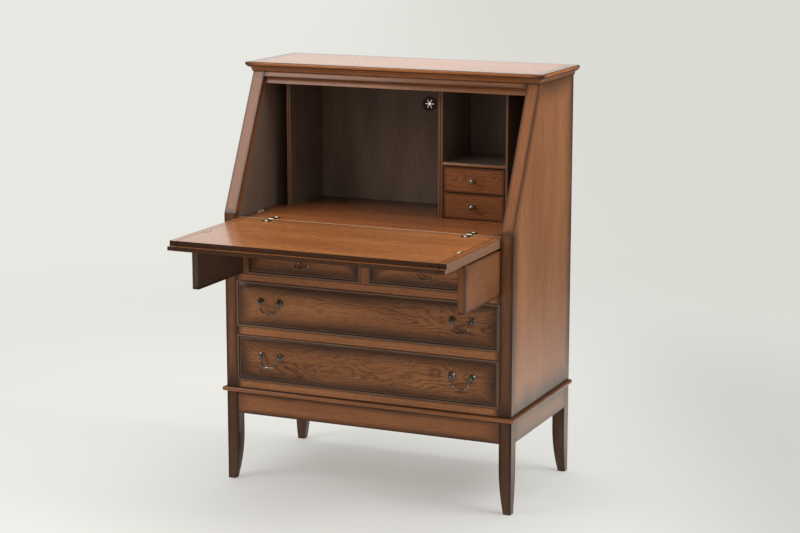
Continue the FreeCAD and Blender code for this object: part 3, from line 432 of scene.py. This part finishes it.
for hand, inward, seed in (("left", 1.0, 21.0), ("right", -1.0, 23.0)):
    stain_oak(
        "side_panel_" + hand,
        "zyx",
        side_fade,
        seed,
        spans=[side_face],
        figure=calm,
        tones=SIDE,
        other_face=("x", inward, INSIDE_STAIN_AND_SHADE),
        coat=CASE_LACQUER,
    )
    # The stiles' front faces are darkened half way to the edge tone: painted shade from the fall above
    # them.
    stain_oak(
        "front_stile_" + hand,
        "zyx",
        stile_fade,
        seed,
        spans=[{**side_face, "x": reach("front_stile_" + hand)["x"]}],
        figure=calm,
        tones=SIDE,
        front_stain_and_shade=0.5,
        coat=CASE_LACQUER,
    )

# About the stile's lean from upright, in radians. Its back edge is set far off, so that only its
# front edge fades.
slant_lean = 0.49
back_far_off = 0.4
slanted = [corner.co for corner in nodes["slant_stile_right"].data.vertices]
along_slant = [co.y * math.sin(slant_lean) + co.z * math.cos(slant_lean) for co in slanted]
off_slant = [co.y * math.cos(slant_lean) - co.z * math.sin(slant_lean) for co in slanted]
slant_fade = {"x": 0.009, "y": 0.04, "z": 0.02}
for hand, seed in (("left", 26.0), ("right", 28.0)):
    slant_face = {
        "x": reach("slant_stile_" + hand)["x"],
        "y": (min(off_slant), min(off_slant) + back_far_off),
        "z": (min(along_slant), max(along_slant)),
    }
    stain_oak(
        "slant_stile_" + hand,
        "zxy",
        slant_fade,
        seed,
        spans=[slant_face],
        figure=calm,
        tones=SLANT,
        lean=slant_lean,
    )


# Drawer openings
# Oak rails and partitions divide the front, and a thin bead lines each opening and stands proud of it.
# Runners and a dust board behind them are plain sanded lining wood, left without stain.
RAIL = {**STAIN, "low": (0.285, 0.106, 0.037), "high": (0.500, 0.204, 0.076)}
BEAD = {
    "edge": (0.05, 0.024, 0.014),
    "low": (0.138, 0.076, 0.045),
    "high": (0.222, 0.128, 0.077),
    "line": (0.080, 0.040, 0.023),
}
LINING = {
    "edge": (0.20, 0.12, 0.06),
    "low": (0.42, 0.27, 0.14),
    "high": (0.58, 0.40, 0.23),
    "line": (0.30, 0.18, 0.09),
}
rail = reach("front_rails")
rail_levels = ((0.252, 0.273), (0.395, 0.418), (0.538, 0.559))
rail_spans = [{"x": rail["x"], "z": level} for level in rail_levels]
rail_fade = {"x": 0.02, "z": 0.004}
rail_figure = {**calm, "fleck": 0.5}
bead_figure = {**STRAIGHT, "line": 0.2}
stain_oak("front_rails", "xzy", rail_fade, 31.0, spans=rail_spans, figure=rail_figure, tones=RAIL)
stain_oak("drawer_partitions", "zyx", {}, 33.0, figure=calm)
# The beads' side faces are darkened: painted shade in the gaps round the drawers.
stain_oak("cock_beads", "xzy", {}, 35.0, figure=bead_figure, tones=BEAD, dark_sides_and_gap_shade=0.8, ease=0.0012)
stain_oak("drawer_runners", "yxz", {}, 37.0, tones=LINING, ease=0)
stain_oak("dust_board", "xyz", {}, 38.0, tones=LINING, ease=0)


# Desk interior
# The writing floor, the back panel and the pigeonhole partitions are veneered oak boards.
# They are grooved into the case sides and lacquered like the outside; the back panel and partitions are a
# deeper brown, partly stain and partly painted shade, the floor darkens towards the back as painted shade,
# and a painted highlight runs along the hinges.
FLOOR = {
    "edge": (0.032, 0.014, 0.008),
    "low": (0.240, 0.074, 0.022),
    "high": (0.400, 0.135, 0.042),
    "line": (0.120, 0.036, 0.013),
}
# The painted highlight along the desk floor's front edge, by the hinges.
PAINTED_HINGE_HIGHLIGHT = (0.72, 0.47, 0.31)
BACK = {"low": (0.150, 0.066, 0.030), "high": (0.260, 0.120, 0.056)}
# The partitions' faces are darker again, partly a darker stain and partly painted shade of the pigeonholes;
# their front edges take a lighter lipping tone.
LIPPED = {
    **INSIDE_STAIN_AND_SHADE,
    "low": (0.098, 0.066, 0.049),
    "high": (0.168, 0.116, 0.086),
    "front": (0.235, 0.108, 0.050),
}
SHELF = {**LIPPED, "front": (0.30, 0.125, 0.050)}
fine = {**STRAIGHT, "spacing": 0.004, "line": 0.18, "wander": 0.006}
desk = reach("desk_floor")
front_far_off = 0.6
# Only the back edge counts along y, so the floor darkens over 26 cm towards the back: painted shade under
# the top.
desk_shade_span = {"x": desk["x"], "y": (desk["y"][0] - front_far_off, desk["y"][1])}
desk_gloss = 0.2
stain_oak(
    "desk_floor",
    "xyz",
    {"x": 0.05, "y": 0.26},
    41.0,
    spans=[desk_shade_span],
    figure={**fine, "fleck": 0.5},
    tones=FLOOR,
    hinge_highlight=(desk["y"][0], PAINTED_HINGE_HIGHLIGHT),
    gloss=desk_gloss,
    ease=0.002,
)
back_fade = {"x": 0.06, "z": 0.05}
back_outside = ("y", 1.0, BACK)
stain_oak("back_panel", "zxy", back_fade, 43.0, figure=fine, tones=INSIDE_STAIN_AND_SHADE, other_face=back_outside, ease=0)
for number, node in enumerate(("divider_left", "divider_right", "slot_partition")):
    stain_oak(node, "zyx", {}, 45.0 + number, figure=fine, tones=LIPPED, front_stain_and_shade=0.9)
stain_oak("pigeonhole_shelf", "xyz", {}, 49.0, figure=fine, tones=SHELF, front_stain_and_shade=0.95)


# Top
# A flat oak board closes the case, over a mitred cornice moulding and the rail the fall shuts under.
# The small batten behind the rail stops the fall when it closes.
TOP = {
    "edge": (0.060, 0.022, 0.009),
    "low": (0.290, 0.098, 0.029),
    "high": (0.470, 0.175, 0.056),
    "line": (0.130, 0.042, 0.014),
    "front": (0.016, 0.008, 0.005),
}
cornice_side = 0.4
stain_oak("top_board", "xyz", {"x": 0.05, "y": 0.03}, 51.0, figure=calm, tones=TOP, gloss=0.12)
stain_oak("cornice_moulding", "xzy", {"z": 0.004}, 53.0, figure=calm, swap=cornice_side, ease=0)
stain_oak("top_rail", "xzy", {"x": 0.02, "z": 0.006}, 55.0, figure=calm)
stain_oak("fall_stop", "xzy", {}, 57.0, figure=calm)


# Fall
# The fall is a veneered panel with a cleat tongued across each end, lipped along its free edges.
# Its upper face is the writing surface: fine straight oak figure, darker at the border.
CLEAT = {**TOP, "low": (0.240, 0.084, 0.026), "high": (0.390, 0.146, 0.048)}
# The fall's end faces are painted pale and grey: a painted sheen.
PAINTED_SHEEN_ENDS = (0.24, 0.155, 0.105)
fall = reach("fall_panel")
cleats = reach("fall_cleats")
middle_fall = {"x": fall["x"], "y": cleats["y"]}
left_cleat = {"x": (cleats["x"][0], fall["x"][0]), "y": cleats["y"]}
right_cleat = {"x": (fall["x"][1], cleats["x"][1]), "y": cleats["y"]}
fall_wear = {"figure": {**fine, "fleck": 0.75}, "front_stain_and_shade": 0.86, "gloss": desk_gloss, "coat": 0.45}
stain_oak("fall_panel", "xyz", {"x": 0.003, "y": 0.010}, 61.0, spans=[middle_fall], tones=TOP, **fall_wear)
stain_oak(
    "fall_cleats",
    "yxz",
    {"x": 0.004, "y": 0.010},
    63.0,
    spans=[left_cleat, right_cleat],
    tones=CLEAT,
    ends=PAINTED_SHEEN_ENDS,
    **fall_wear,
)


# Hinges, catches and stop pins
# Two brass hinges join the fall to the desk floor, with bright knuckles and near-black leaves let in
# flush under thin plates. Near-black catch plates lie in the fall, and brass pins stop the lopers.
KNUCKLE_END = (0.0045, 0.0052)


def cast_metal(name, tone, dull, roughness, seed, bright=None, metallic=1.0):
    """Metal with a patina in patches, worn brighter between them, and bare along a bright line."""
    material, start, sockets = fresh_finish(name)
    place = coordinates(start, "Object")
    patches = speckle(place, (90.0, 90.0, 90.0), seed, 4.0)
    scratches = speckle(place, (900.0, 260.0, 900.0), seed + 2.0, 2.0)
    worn = (patches * 0.8 + scratches * 0.3).rise(0.38, 0.72)
    colour = worn.between(dull, tone)
    if bright:
        line, line_tone = bright
        off_knuckle = abs(axes(place)["y"] - line).rise(*KNUCKLE_END)
        colour = off_knuckle.between(line_tone, colour)
        metallic = 1 - off_knuckle
        feed(sockets, Specular_IOR_Level=0.1)
    feed(sockets, Base_Color=colour, Metallic=metallic)
    feed(sockets, Roughness=roughness + (1 - worn) * 0.16 + scratches * 0.06)
    feed(sockets, Normal=bumps(scratches, strength=0.12, distance=0.0001))
    return material


def set_on_body(mesh, name, finish, body, stands_for=None):
    """Makes the object of a mesh that is already in place, and sets it on its body."""
    mesh.materials.clear()
    mesh.materials.append(finish)
    made = bpy.data.objects.new(name, mesh)
    bpy.context.scene.collection.objects.link(made)
    if stands_for:
        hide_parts(stands_for)
    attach(made, body)


def piece_from(shape, name, finish, body):
    """Turns a finished shape into a piece on its body."""
    mesh = bpy.data.meshes.new(name)
    shape.to_mesh(mesh)
    shape.free()
    set_on_body(mesh, name, finish, body)


def each_once(parts):
    """The parts in their order, without repeats."""
    return list(dict.fromkeys(parts))


def domed_screw(shape, at, radius, height):
    """A round-headed screw that stands on a plate, with a slot cut across its head."""
    half_slot = radius * 0.15
    slot_depth = height * 0.35
    dome_level = at[2] + height * 0.6
    profile = [
        (0.0, 0.0),
        (radius, 0.0),
        (radius, height * 0.3),
        (radius * 0.72, height * 0.8),
        (radius * 0.2, height),
        (0.0, height),
    ]
    corners = [shape.verts.new((at[0] + r, at[1], at[2] + up)) for r, up in profile]
    rim = [shape.edges.new(pair) for pair in zip(corners, corners[1:])]
    bmesh.ops.spin(
        shape, geom=corners + rim, cent=at, axis=(0, 0, 1), angle=math.tau, steps=20, use_merge=True
    )

    def head():
        return [v for v in shape.verts if (v.co - Vector(at)).length < radius * 1.5]

    def head_faces():
        return each_once(face for v in head() for face in v.link_faces)

    bmesh.ops.remove_doubles(shape, verts=head(), dist=MERGE_WITHIN)
    for side in (-half_slot, half_slot):
        edges = each_once(edge for v in head() for edge in v.link_edges)
        wall = (at[0], at[1] + side, at[2])
        bmesh.ops.bisect_plane(shape, geom=head() + edges + head_faces(), plane_co=wall, plane_no=(0, 1, 0))
    slot = []
    for face in head_faces():
        middle = face.calc_center_median()
        if abs(middle.y - at[1]) < half_slot and middle.z > dome_level:
            slot.append(face)
    cut = bmesh.ops.extrude_face_region(shape, geom=slot)
    floor = [part for part in cut["geom"] if isinstance(part, bmesh.types.BMVert)]
    bmesh.ops.delete(shape, geom=slot, context="FACES")
    bmesh.ops.translate(shape, vec=(0.0, 0.0, -slot_depth), verts=floor)
    bmesh.ops.recalc_face_normals(shape, faces=shape.faces)


def rounded_plate(shape, centre, size):
    """A thin plate with round corners that lies on the wood."""
    width, length, thick = size
    place = Matrix.Translation((centre[0], centre[1], centre[2] + thick / 2))
    place = place @ Matrix.Diagonal((width, length, thick, 1.0))
    made = bmesh.ops.create_cube(shape, size=1.0, matrix=place)
    corners = []
    for edge in each_once(edge for v in made["verts"] for edge in v.link_edges):
        end, other_end = edge.verts
        if abs(end.co.z - other_end.co.z) > thick / 2:
            corners.append(edge)
    bmesh.ops.bevel(
        shape, geom=corners, offset=width / 4, segments=4, profile=0.5, affect="EDGES", material=-1
    )


case_leaf = reach("hinge_case_leaves")
fall_leaf = reach("hinge_fall_leaves")
catch = reach("catch_plates")
floor_level = desk["z"][1]
knuckle_radius = 0.003
half_leaf_width = 0.006
half_catch_width = 0.006
metal_ease = 0.0003
hinge_line = case_leaf["y"][0] + knuckle_radius
hinge_x = case_leaf["x"][1] - half_leaf_width
catch_x = catch["x"][1] - half_catch_width
catch_y = (catch["y"][0] + catch["y"][1]) / 2
BARE_BRASS = (0.92, 0.84, 0.62)
brass = cast_metal("polished_brass", (0.94, 0.86, 0.66), (0.78, 0.66, 0.44), 0.36, 71.0, metallic=0.6)
# The near-black metal is partly a dark finish and partly painted shade of the hinge recesses.
dark_iron_and_shade = cast_metal(
    "dark_iron_and_painted_shade",
    (0.020, 0.016, 0.012),
    (0.010, 0.008, 0.006),
    0.50,
    73.0,
    bright=(hinge_line, BARE_BRASS),
)
fittings = {
    "hinge_case_leaves": dark_iron_and_shade,
    "hinge_fall_leaves": dark_iron_and_shade,
    "catch_plates": dark_iron_and_shade,
    "loper_stop_pins": brass,
}
for node, finish in fittings.items():
    wear_finish(node, finish)
    ease_edges(node, metal_ease)

plate_width, plate_length, plate_thick = 0.022, 0.031, 0.0006
plate_size = (plate_width, plate_length, plate_thick)
past_leaf = 0.004
screw_from_end = 0.0078
catch_screw_off = 0.0055
hinge_screw = {"radius": 0.0048, "height": 0.0022}
catch_screw = {"radius": 0.0034, "height": 0.0016}
case_end = case_leaf["y"][1] + past_leaf
fall_end = fall_leaf["y"][0] - past_leaf
screw_level = floor_level + plate_thick
case_plates = bmesh.new()
fall_plates = bmesh.new()
case_screws = bmesh.new()
fall_screws = bmesh.new()
for side in (-1, 1):
    rounded_plate(case_plates, (side * hinge_x, case_end - plate_length / 2, floor_level), plate_size)
    rounded_plate(fall_plates, (side * hinge_x, fall_end + plate_length / 2, floor_level), plate_size)
    domed_screw(case_screws, (side * hinge_x, case_end - screw_from_end, screw_level), **hinge_screw)
    domed_screw(fall_screws, (side * hinge_x, fall_end + screw_from_end, screw_level), **hinge_screw)
    for off in (-catch_screw_off, catch_screw_off):
        domed_screw(fall_screws, (side * catch_x, catch_y + off, floor_level), **catch_screw)
piece_from(case_plates, "hinge_case_plates", dark_iron_and_shade, "case")
piece_from(fall_plates, "hinge_fall_plates", dark_iron_and_shade, "fall")
piece_from(case_screws, "hinge_case_screws", brass, "case")
piece_from(fall_screws, "hinge_fall_screws", brass, "fall")


# Back screws
# Round-headed brass screws hold the back panel to the case all round its edge.
# They are driven from behind, so the panel can come off.
back = reach("back_panel")
back_screw = {"radius": 0.0032, "height": 0.0014}
screw_inset = 0.014
across = (back["x"][0] + screw_inset, back["x"][1] - screw_inset)
upward = (back["z"][0] + screw_inset, back["z"][1] - screw_inset)
spots = [(x, upward[0] + (upward[1] - upward[0]) * step / 4) for x in across for step in range(5)]
spots += [(across[0] + (across[1] - across[0]) * step / 4, z) for z in upward for step in (1, 2, 3)]
to_the_back = Matrix.Rotation(-math.pi / 2, 3, "X")
back_screws = bmesh.new()
for x, z in spots:
    domed_screw(back_screws, (x, -z, back["y"][1]), **back_screw)
bmesh.ops.rotate(back_screws, cent=(0, 0, 0), matrix=to_the_back, verts=back_screws.verts)
piece_from(back_screws, "back_panel_screws", brass, "case")


# Lopers
# Two oak bearers slide out of the case to carry the open fall on a small pad at their front end.
# Their grain runs along the slide, and the left one is darker on all but its outer face: painted shade
# under the fall.
SHADED = {**LEG, "low": (0.058, 0.036, 0.024), "high": (0.108, 0.068, 0.045)}
BEARER = {**STAIN, "low": (0.150, 0.056, 0.021), "high": (0.285, 0.112, 0.043)}
left_fade = {"x": 0.004, "z": 0.012}
right_fade = {"x": 0.004, "y": 0.03, "z": 0.012}
left_outside = ("x", -1.0, BEARER)
right_figure = {**STRAIGHT, "fleck": 0.5}
stain_oak("loper_left", "yzx", left_fade, 75.0, figure=calm, tones=SHADED, other_face=left_outside)
stain_oak("loper_right", "yzx", right_fade, 77.0, figure=right_figure, tones=BEARER)


# Drawers
# Each drawer is a lining wood box behind a thick oak front with a low bevel round its face.
# The fronts show flame figure, stained dark towards all four edges and left orange in the middle,
# with a painted highlight along the outermost arris and painted shade on the edge faces in the gaps.
FRONT = {
    "edge": (0.048, 0.022, 0.012),
    "low": (0.250, 0.092, 0.031),
    "high": (0.450, 0.182, 0.064),
    "line": (0.068, 0.024, 0.010),
}
# The painted highlight along the outer arris of the drawer fronts.
PAINTED_ARRIS_HIGHLIGHT = (0.23, 0.150, 0.105)
flame = {
    "spacing": 0.0075,
    "wander": 0.095,
    "run": 4.5,
    "cross": 13.0,
    "core": 0.02,
    "off": 0.0,
    "line": 0.95,
    "fleck": 0.45,
    "cloud": 0.8,
    "feather": 0.007,
}
drawers = ("lower_drawer", "upper_drawer", "small_left_drawer", "small_right_drawer")
for number, drawer in enumerate(drawers):
    stain_oak(
        drawer + "_front",
        "xzy",
        {"x": 0.060, "z": 0.042},
        81.0 + number * 3.7,
        figure=flame,
        tones=FRONT,
        dark_sides_and_gap_shade=0.8,
        arris_highlight=PAINTED_ARRIS_HIGHLIGHT,
        ease=0.0016,
    )
    stain_oak(drawer + "_box", "yxz", {}, 95.0 + number, tones=LINING, ease=0)


# Drawer handles and key
# Cast bronze posts on round beaded roses are bolted through each front, and a bail bent from rod
# swings between each pair. The steel key stays in the lock of the left small drawer.
bronze = cast_metal("antique_bronze", (0.52, 0.48, 0.42), (0.10, 0.088, 0.075), 0.25, 101.0)
steel = cast_metal("worn_steel", (0.78, 0.75, 0.70), (0.36, 0.33, 0.29), 0.24, 103.0)
rod_radius = 0.00195
# Half of a bail, from its pin to its grip: how far out from the middle, how far up from the pins, and
# how many times as thick as the rod.
half_bail = [
    (0.0250, 0.0, 1.0),
    (0.0212, 0.0, 1.0),
    (0.0204, -0.006, 1.0),
    (0.0218, -0.0145, 1.0),
    (0.0200, -0.0225, 1.1),
    (0.0130, -0.0276, 1.3),
    (0.006, -0.0280, 1.5),
]


def swelled_bail(node, centre, level):
    """A bail bent from rod that thickens towards its grip, with its ends in the posts."""
    depth = sum(reach(node)["y"]) / 2
    route = [(-x, z, thick) for x, z, thick in half_bail] + list(reversed(half_bail))
    rod = bpy.data.curves.new(node + "_rod", "CURVE")
    rod.dimensions = "3D"
    rod.bevel_depth = rod_radius
    rod.bevel_resolution = 4
    rod.use_fill_caps = True
    line = rod.splines.new("NURBS")
    line.points.add(len(route) - 1)
    for point, (x, z, thick) in zip(line.points, route):
        point.co = (centre + x, depth, level + z, 1.0)
        point.radius = thick
    line.order_u = 3
    line.use_endpoint_u = True
    line.resolution_u = 6
    bent = bpy.data.objects.new(node + "_rod", rod)
    mesh = bpy.data.meshes.new_from_object(bent)
    bpy.data.objects.remove(bent)
    bpy.data.curves.remove(rod)
    for face in mesh.polygons:
        face.use_smooth = True
    set_on_body(mesh, node + "_bent", bronze, node, stands_for=node)


def beaded_ring(shape, centre):
    """A ring of small round beads about the post on a rose."""
    x, y, z = centre
    beads, ring_radius, bead_radius = 20, 0.0091, 0.0010
    for number in range(beads):
        angle = math.tau * number / beads
        spot = (x + ring_radius * math.cos(angle), y, z + ring_radius * math.sin(angle))
        place = Matrix.Translation(spot)
        bmesh.ops.create_icosphere(shape, subdivisions=1, radius=bead_radius, matrix=place)


wide_bail, small_bail = 0.268, 0.1725
lower_level, upper_level, small_level = 0.344, 0.488, 0.616
bails = [
    ("lower_drawer", "lower_drawer_bail_left", -wide_bail, lower_level),
    ("lower_drawer", "lower_drawer_bail_right", wide_bail, lower_level),
    ("upper_drawer", "upper_drawer_bail_left", -wide_bail, upper_level),
    ("upper_drawer", "upper_drawer_bail_right", wide_bail, upper_level),
    ("small_left_drawer", "small_left_drawer_bail", -small_bail, small_level),
    ("small_right_drawer", "small_right_drawer_bail", small_bail, small_level),
]
half_post_spacing = 0.0275
rose_edge = 0.0015
roses = {drawer: bmesh.new() for drawer in drawers}
for drawer, node, centre, level in bails:
    swelled_bail(node, centre, level)
    rim_y = reach(drawer + "_handle_posts")["y"][1] - rose_edge
    for post in (-half_post_spacing, half_post_spacing):
        beaded_ring(roses[drawer], (centre + post, rim_y, level))
for drawer, rim in roses.items():
    wear_finish(drawer + "_handle_posts", bronze)
    piece_from(rim, drawer + "_rose_beads", bronze, drawer)
wear_finish("drawer_key", steel)


# Little drawers
# Two little drawers fill the bay of the pigeonholes, each with one turned bronze knob.
# Their fronts are reddish oak with the same flame figure, at a smaller scale.
LITTLE = {
    "edge": (0.055, 0.020, 0.010),
    "low": (0.200, 0.064, 0.021),
    "high": (0.350, 0.122, 0.041),
    "line": (0.070, 0.022, 0.009),
}
small_flame = {**flame, "spacing": 0.006, "wander": 0.05, "run": 9.0, "cross": 22.0}
little_fade = {"x": 0.012, "z": 0.008}
worn_bronze = cast_metal("worn_bronze", (0.58, 0.53, 0.46), (0.20, 0.175, 0.15), 0.2, 107.0)
for number, drawer in enumerate(("pigeonhole_drawer_upper", "pigeonhole_drawer_lower")):
    stain_oak(drawer, "xzy", little_fade, 111.0 + number * 2.9, figure=small_flame, tones=LITTLE, ease=0)
    wear_finish(drawer + "_knob", worn_bronze)


# Cable grommet
# A moulded rubber ring in the back panel holds a thin membrane slit like a star for cables.
# It is dark red-brown, with a fine moulded texture.
RUBBER = (0.060, 0.018, 0.013)
PALE_RUBBER = (0.120, 0.036, 0.026)
rubber, start, sockets = fresh_finish("grommet_rubber")
place = coordinates(start, "Object")
texture = speckle(place, (700.0, 700.0, 700.0), 5.0, 3.0)
bloom = speckle(place, (60.0, 60.0, 60.0), 9.0, 2.0)
feed(sockets, Base_Color=(bloom * 0.7 + texture * 0.3).between(RUBBER, PALE_RUBBER))
feed(sockets, Roughness=0.45 + texture * 0.2)
feed(sockets, Normal=bumps(texture, strength=0.2, distance=0.0001))
for node in ("grommet_ring", "grommet_membrane"):
    wear_finish(node, rubber)


# Studio
# A wide pale floor runs back out of sight under a large soft light, with the walls lost in white.
# Far from the desk the floor is as bright as the backdrop, and near it the desk's shadow lies on it.
def ray_kinds(start):
    """Masks of the rays that come from the camera, off a gloss and through glass."""
    kinds = ("Is Camera Ray", "Is Glossy Ray", "Is Transmission Ray")
    return [start.node("ShaderNodeLightPath", {}, {}, output=kind) for kind in kinds]


def along_direction(place, direction):
    """How far a place lies along a direction."""
    settings = {"operation": "DOT_PRODUCT"}
    return place.node("ShaderNodeVectorMath", settings, {0: place, 1: direction}, output="Value")


def glowing(start, colour, strength):
    """A surface that gives off light of its own."""
    return start.node("ShaderNodeEmission", {}, {"Color": colour, "Strength": strength})


def mixed(share, surface, other_surface):
    """The first surface where the share is 0, the other where it is 1."""
    return share.node("ShaderNodeMixShader", {}, {0: share, 1: surface, 2: other_surface})


FLOOR_RADIUS = 60.0
PAPER = (0.78, 0.775, 0.755, 1.0)
BACKDROP = (0.81, 0.81, 0.765)
HAZE_NEAR = (0.58, 0.585, 0.56)
HAZE_FAR = (0.71, 0.705, 0.66)
# Colours the floor shows only in reflections: a painted dark reflection and a painted bright one.
PAINTED_DARK_REFLECTION = (0.08, 0.08, 0.078, 1.0)
PAINTED_BRIGHT_REFLECTION = (1.0, 0.97, 0.85, 1.0)
picture_right = (0.914, 0.405, 0.0)
desk_front = (0.0, -1.0, 0.0)
floor_mesh = bpy.data.meshes.new("studio_floor")
shape = bmesh.new()
bmesh.ops.create_circle(shape, cap_ends=True, segments=96, radius=FLOOR_RADIUS)
shape.to_mesh(floor_mesh)
shape.free()
floor = bpy.data.objects.new("studio_floor", floor_mesh)
bpy.context.scene.collection.objects.link(floor)

paper, start, sockets = fresh_finish("floor_paper")
feed(sockets, Base_Color=PAPER, Roughness=0.9)
surface = Finish(paper.node_tree, paper.node_tree.nodes["Principled BSDF"].outputs[0])
seen, mirrored, passed = ray_kinds(start)
place = coordinates(start, "Object")
far = place.node("ShaderNodeVectorMath", {"operation": "LENGTH"}, {0: place}, output="Value")
rightward = along_direction(place, picture_right)
forward = along_direction(place, desk_front)
# The glow dims to the right and most near the desk there: painted shade on the floor.
right_shaded_haze = far.rise(1.0, 2.6).between(HAZE_NEAR, HAZE_FAR)
haze = rightward.rise(-1.0, 1.4).between(BACKDROP, right_shaded_haze)
hazy = far.rise(1.2, 3.5).math("MAXIMUM", rightward.rise(0.45, 1.15) * 0.8)
backdrop_share = seen.math("MAXIMUM", passed) * (0.42 + hazy * 0.58)
surface = mixed(backdrop_share, surface, glowing(start, haze, 1.0))
# Reflected rays see the floor painted dark to the right and in front, and painted bright just beside the
# desk's right side: painted reflections that put a pale sheen low on the desk's side and apron.
dark_reflection_zone = rightward.rise(1.0, 2.4).math("MAXIMUM", forward.rise(0.02, 0.5) * 0.85)
surface = mixed(mirrored * dark_reflection_zone, surface, glowing(start, PAINTED_DARK_REFLECTION, 1.0))
bright_reflection_zone = rightward.rise(0.55, 0.8) * (1 - rightward.rise(0.9, 1.4))
surface = mixed(mirrored * bright_reflection_zone, surface, glowing(start, PAINTED_BRIGHT_REFLECTION, 1.25))
paper.node_tree.links.new(surface.socket, paper.node_tree.nodes["Material Output"].inputs[0])
floor_mesh.materials.append(paper)

BLACK = (0.0, 0.0, 0.0)
ROOM_WHITE = (1.0, 0.99, 0.96)
picture_back = (-0.405, 0.914, 0.0)
picture_back_left = (-0.628, 0.778, 0.0)
world = bpy.data.worlds.new("white_room")
world.use_nodes = True
bpy.context.scene.world = world
start = Finish(world.node_tree)
seen, mirrored, passed = ray_kinds(start)
ahead = coordinates(start, "Generated")
behind = along_direction(ahead, picture_back).rise(0.0, 0.8)
behind_left = along_direction(ahead, picture_back_left).rise(0.84, 0.99)
above = axes(ahead)["z"].rise(0.3, 0.95)
lit_walls = (0.56 + behind * 0.44).between(BLACK, ROOM_WHITE)
mirrored_walls = (0.10 + behind_left * 1.14 + above * 0.1).between(BLACK, ROOM_WHITE)
walls = mirrored.math("MAXIMUM", passed).between(lit_walls, mirrored_walls)
walls = seen.between(walls, BACKDROP)
background = world.node_tree.nodes["Background"]
world.node_tree.links.new(walls.socket, background.inputs["Color"])
background.inputs["Strength"].default_value = 1.0


def softbox(name, at, towards, size, power):
    """A square lamp that shines from one point towards another."""
    lamp = bpy.data.lights.new(name, "AREA")
    lamp.energy = power
    lamp.size = size
    hung = bpy.data.objects.new(name, lamp)
    hung.location = at
    hung.rotation_euler = (Vector(towards) - Vector(at)).to_track_quat("-Z", "Y").to_euler()
    bpy.context.scene.collection.objects.link(hung)


softbox("overhead_softbox", at=(-0.2, 0.1, 3.4), towards=(0.0, -0.2, 0.5), size=2.2, power=33.0)
softbox("left_softbox", at=(-1.7, -1.5, 2.4), towards=(0.0, -0.1, 0.7), size=1.2, power=24.0)
softbox("right_softbox", at=(2.4, 0.2, 2.7), towards=(0.3, 0.0, 0.6), size=1.6, power=56.0)

camera_tilt = 0.1981
camera_turn = 0.4167
lens = bpy.data.cameras.new("camera")
lens.lens = 92.2
lens.sensor_width = 36.0
lens.sensor_fit = "HORIZONTAL"
lens.clip_end = 200.0
camera = bpy.data.objects.new("camera", lens)
camera.location = (2.1339, -4.6385, 1.6220)
camera.rotation_euler = (math.pi / 2 - camera_tilt, 0.0, camera_turn)
bpy.context.scene.collection.objects.link(camera)
bpy.context.scene.camera = camera
bpy.context.scene.view_settings.view_transform = "Standard"
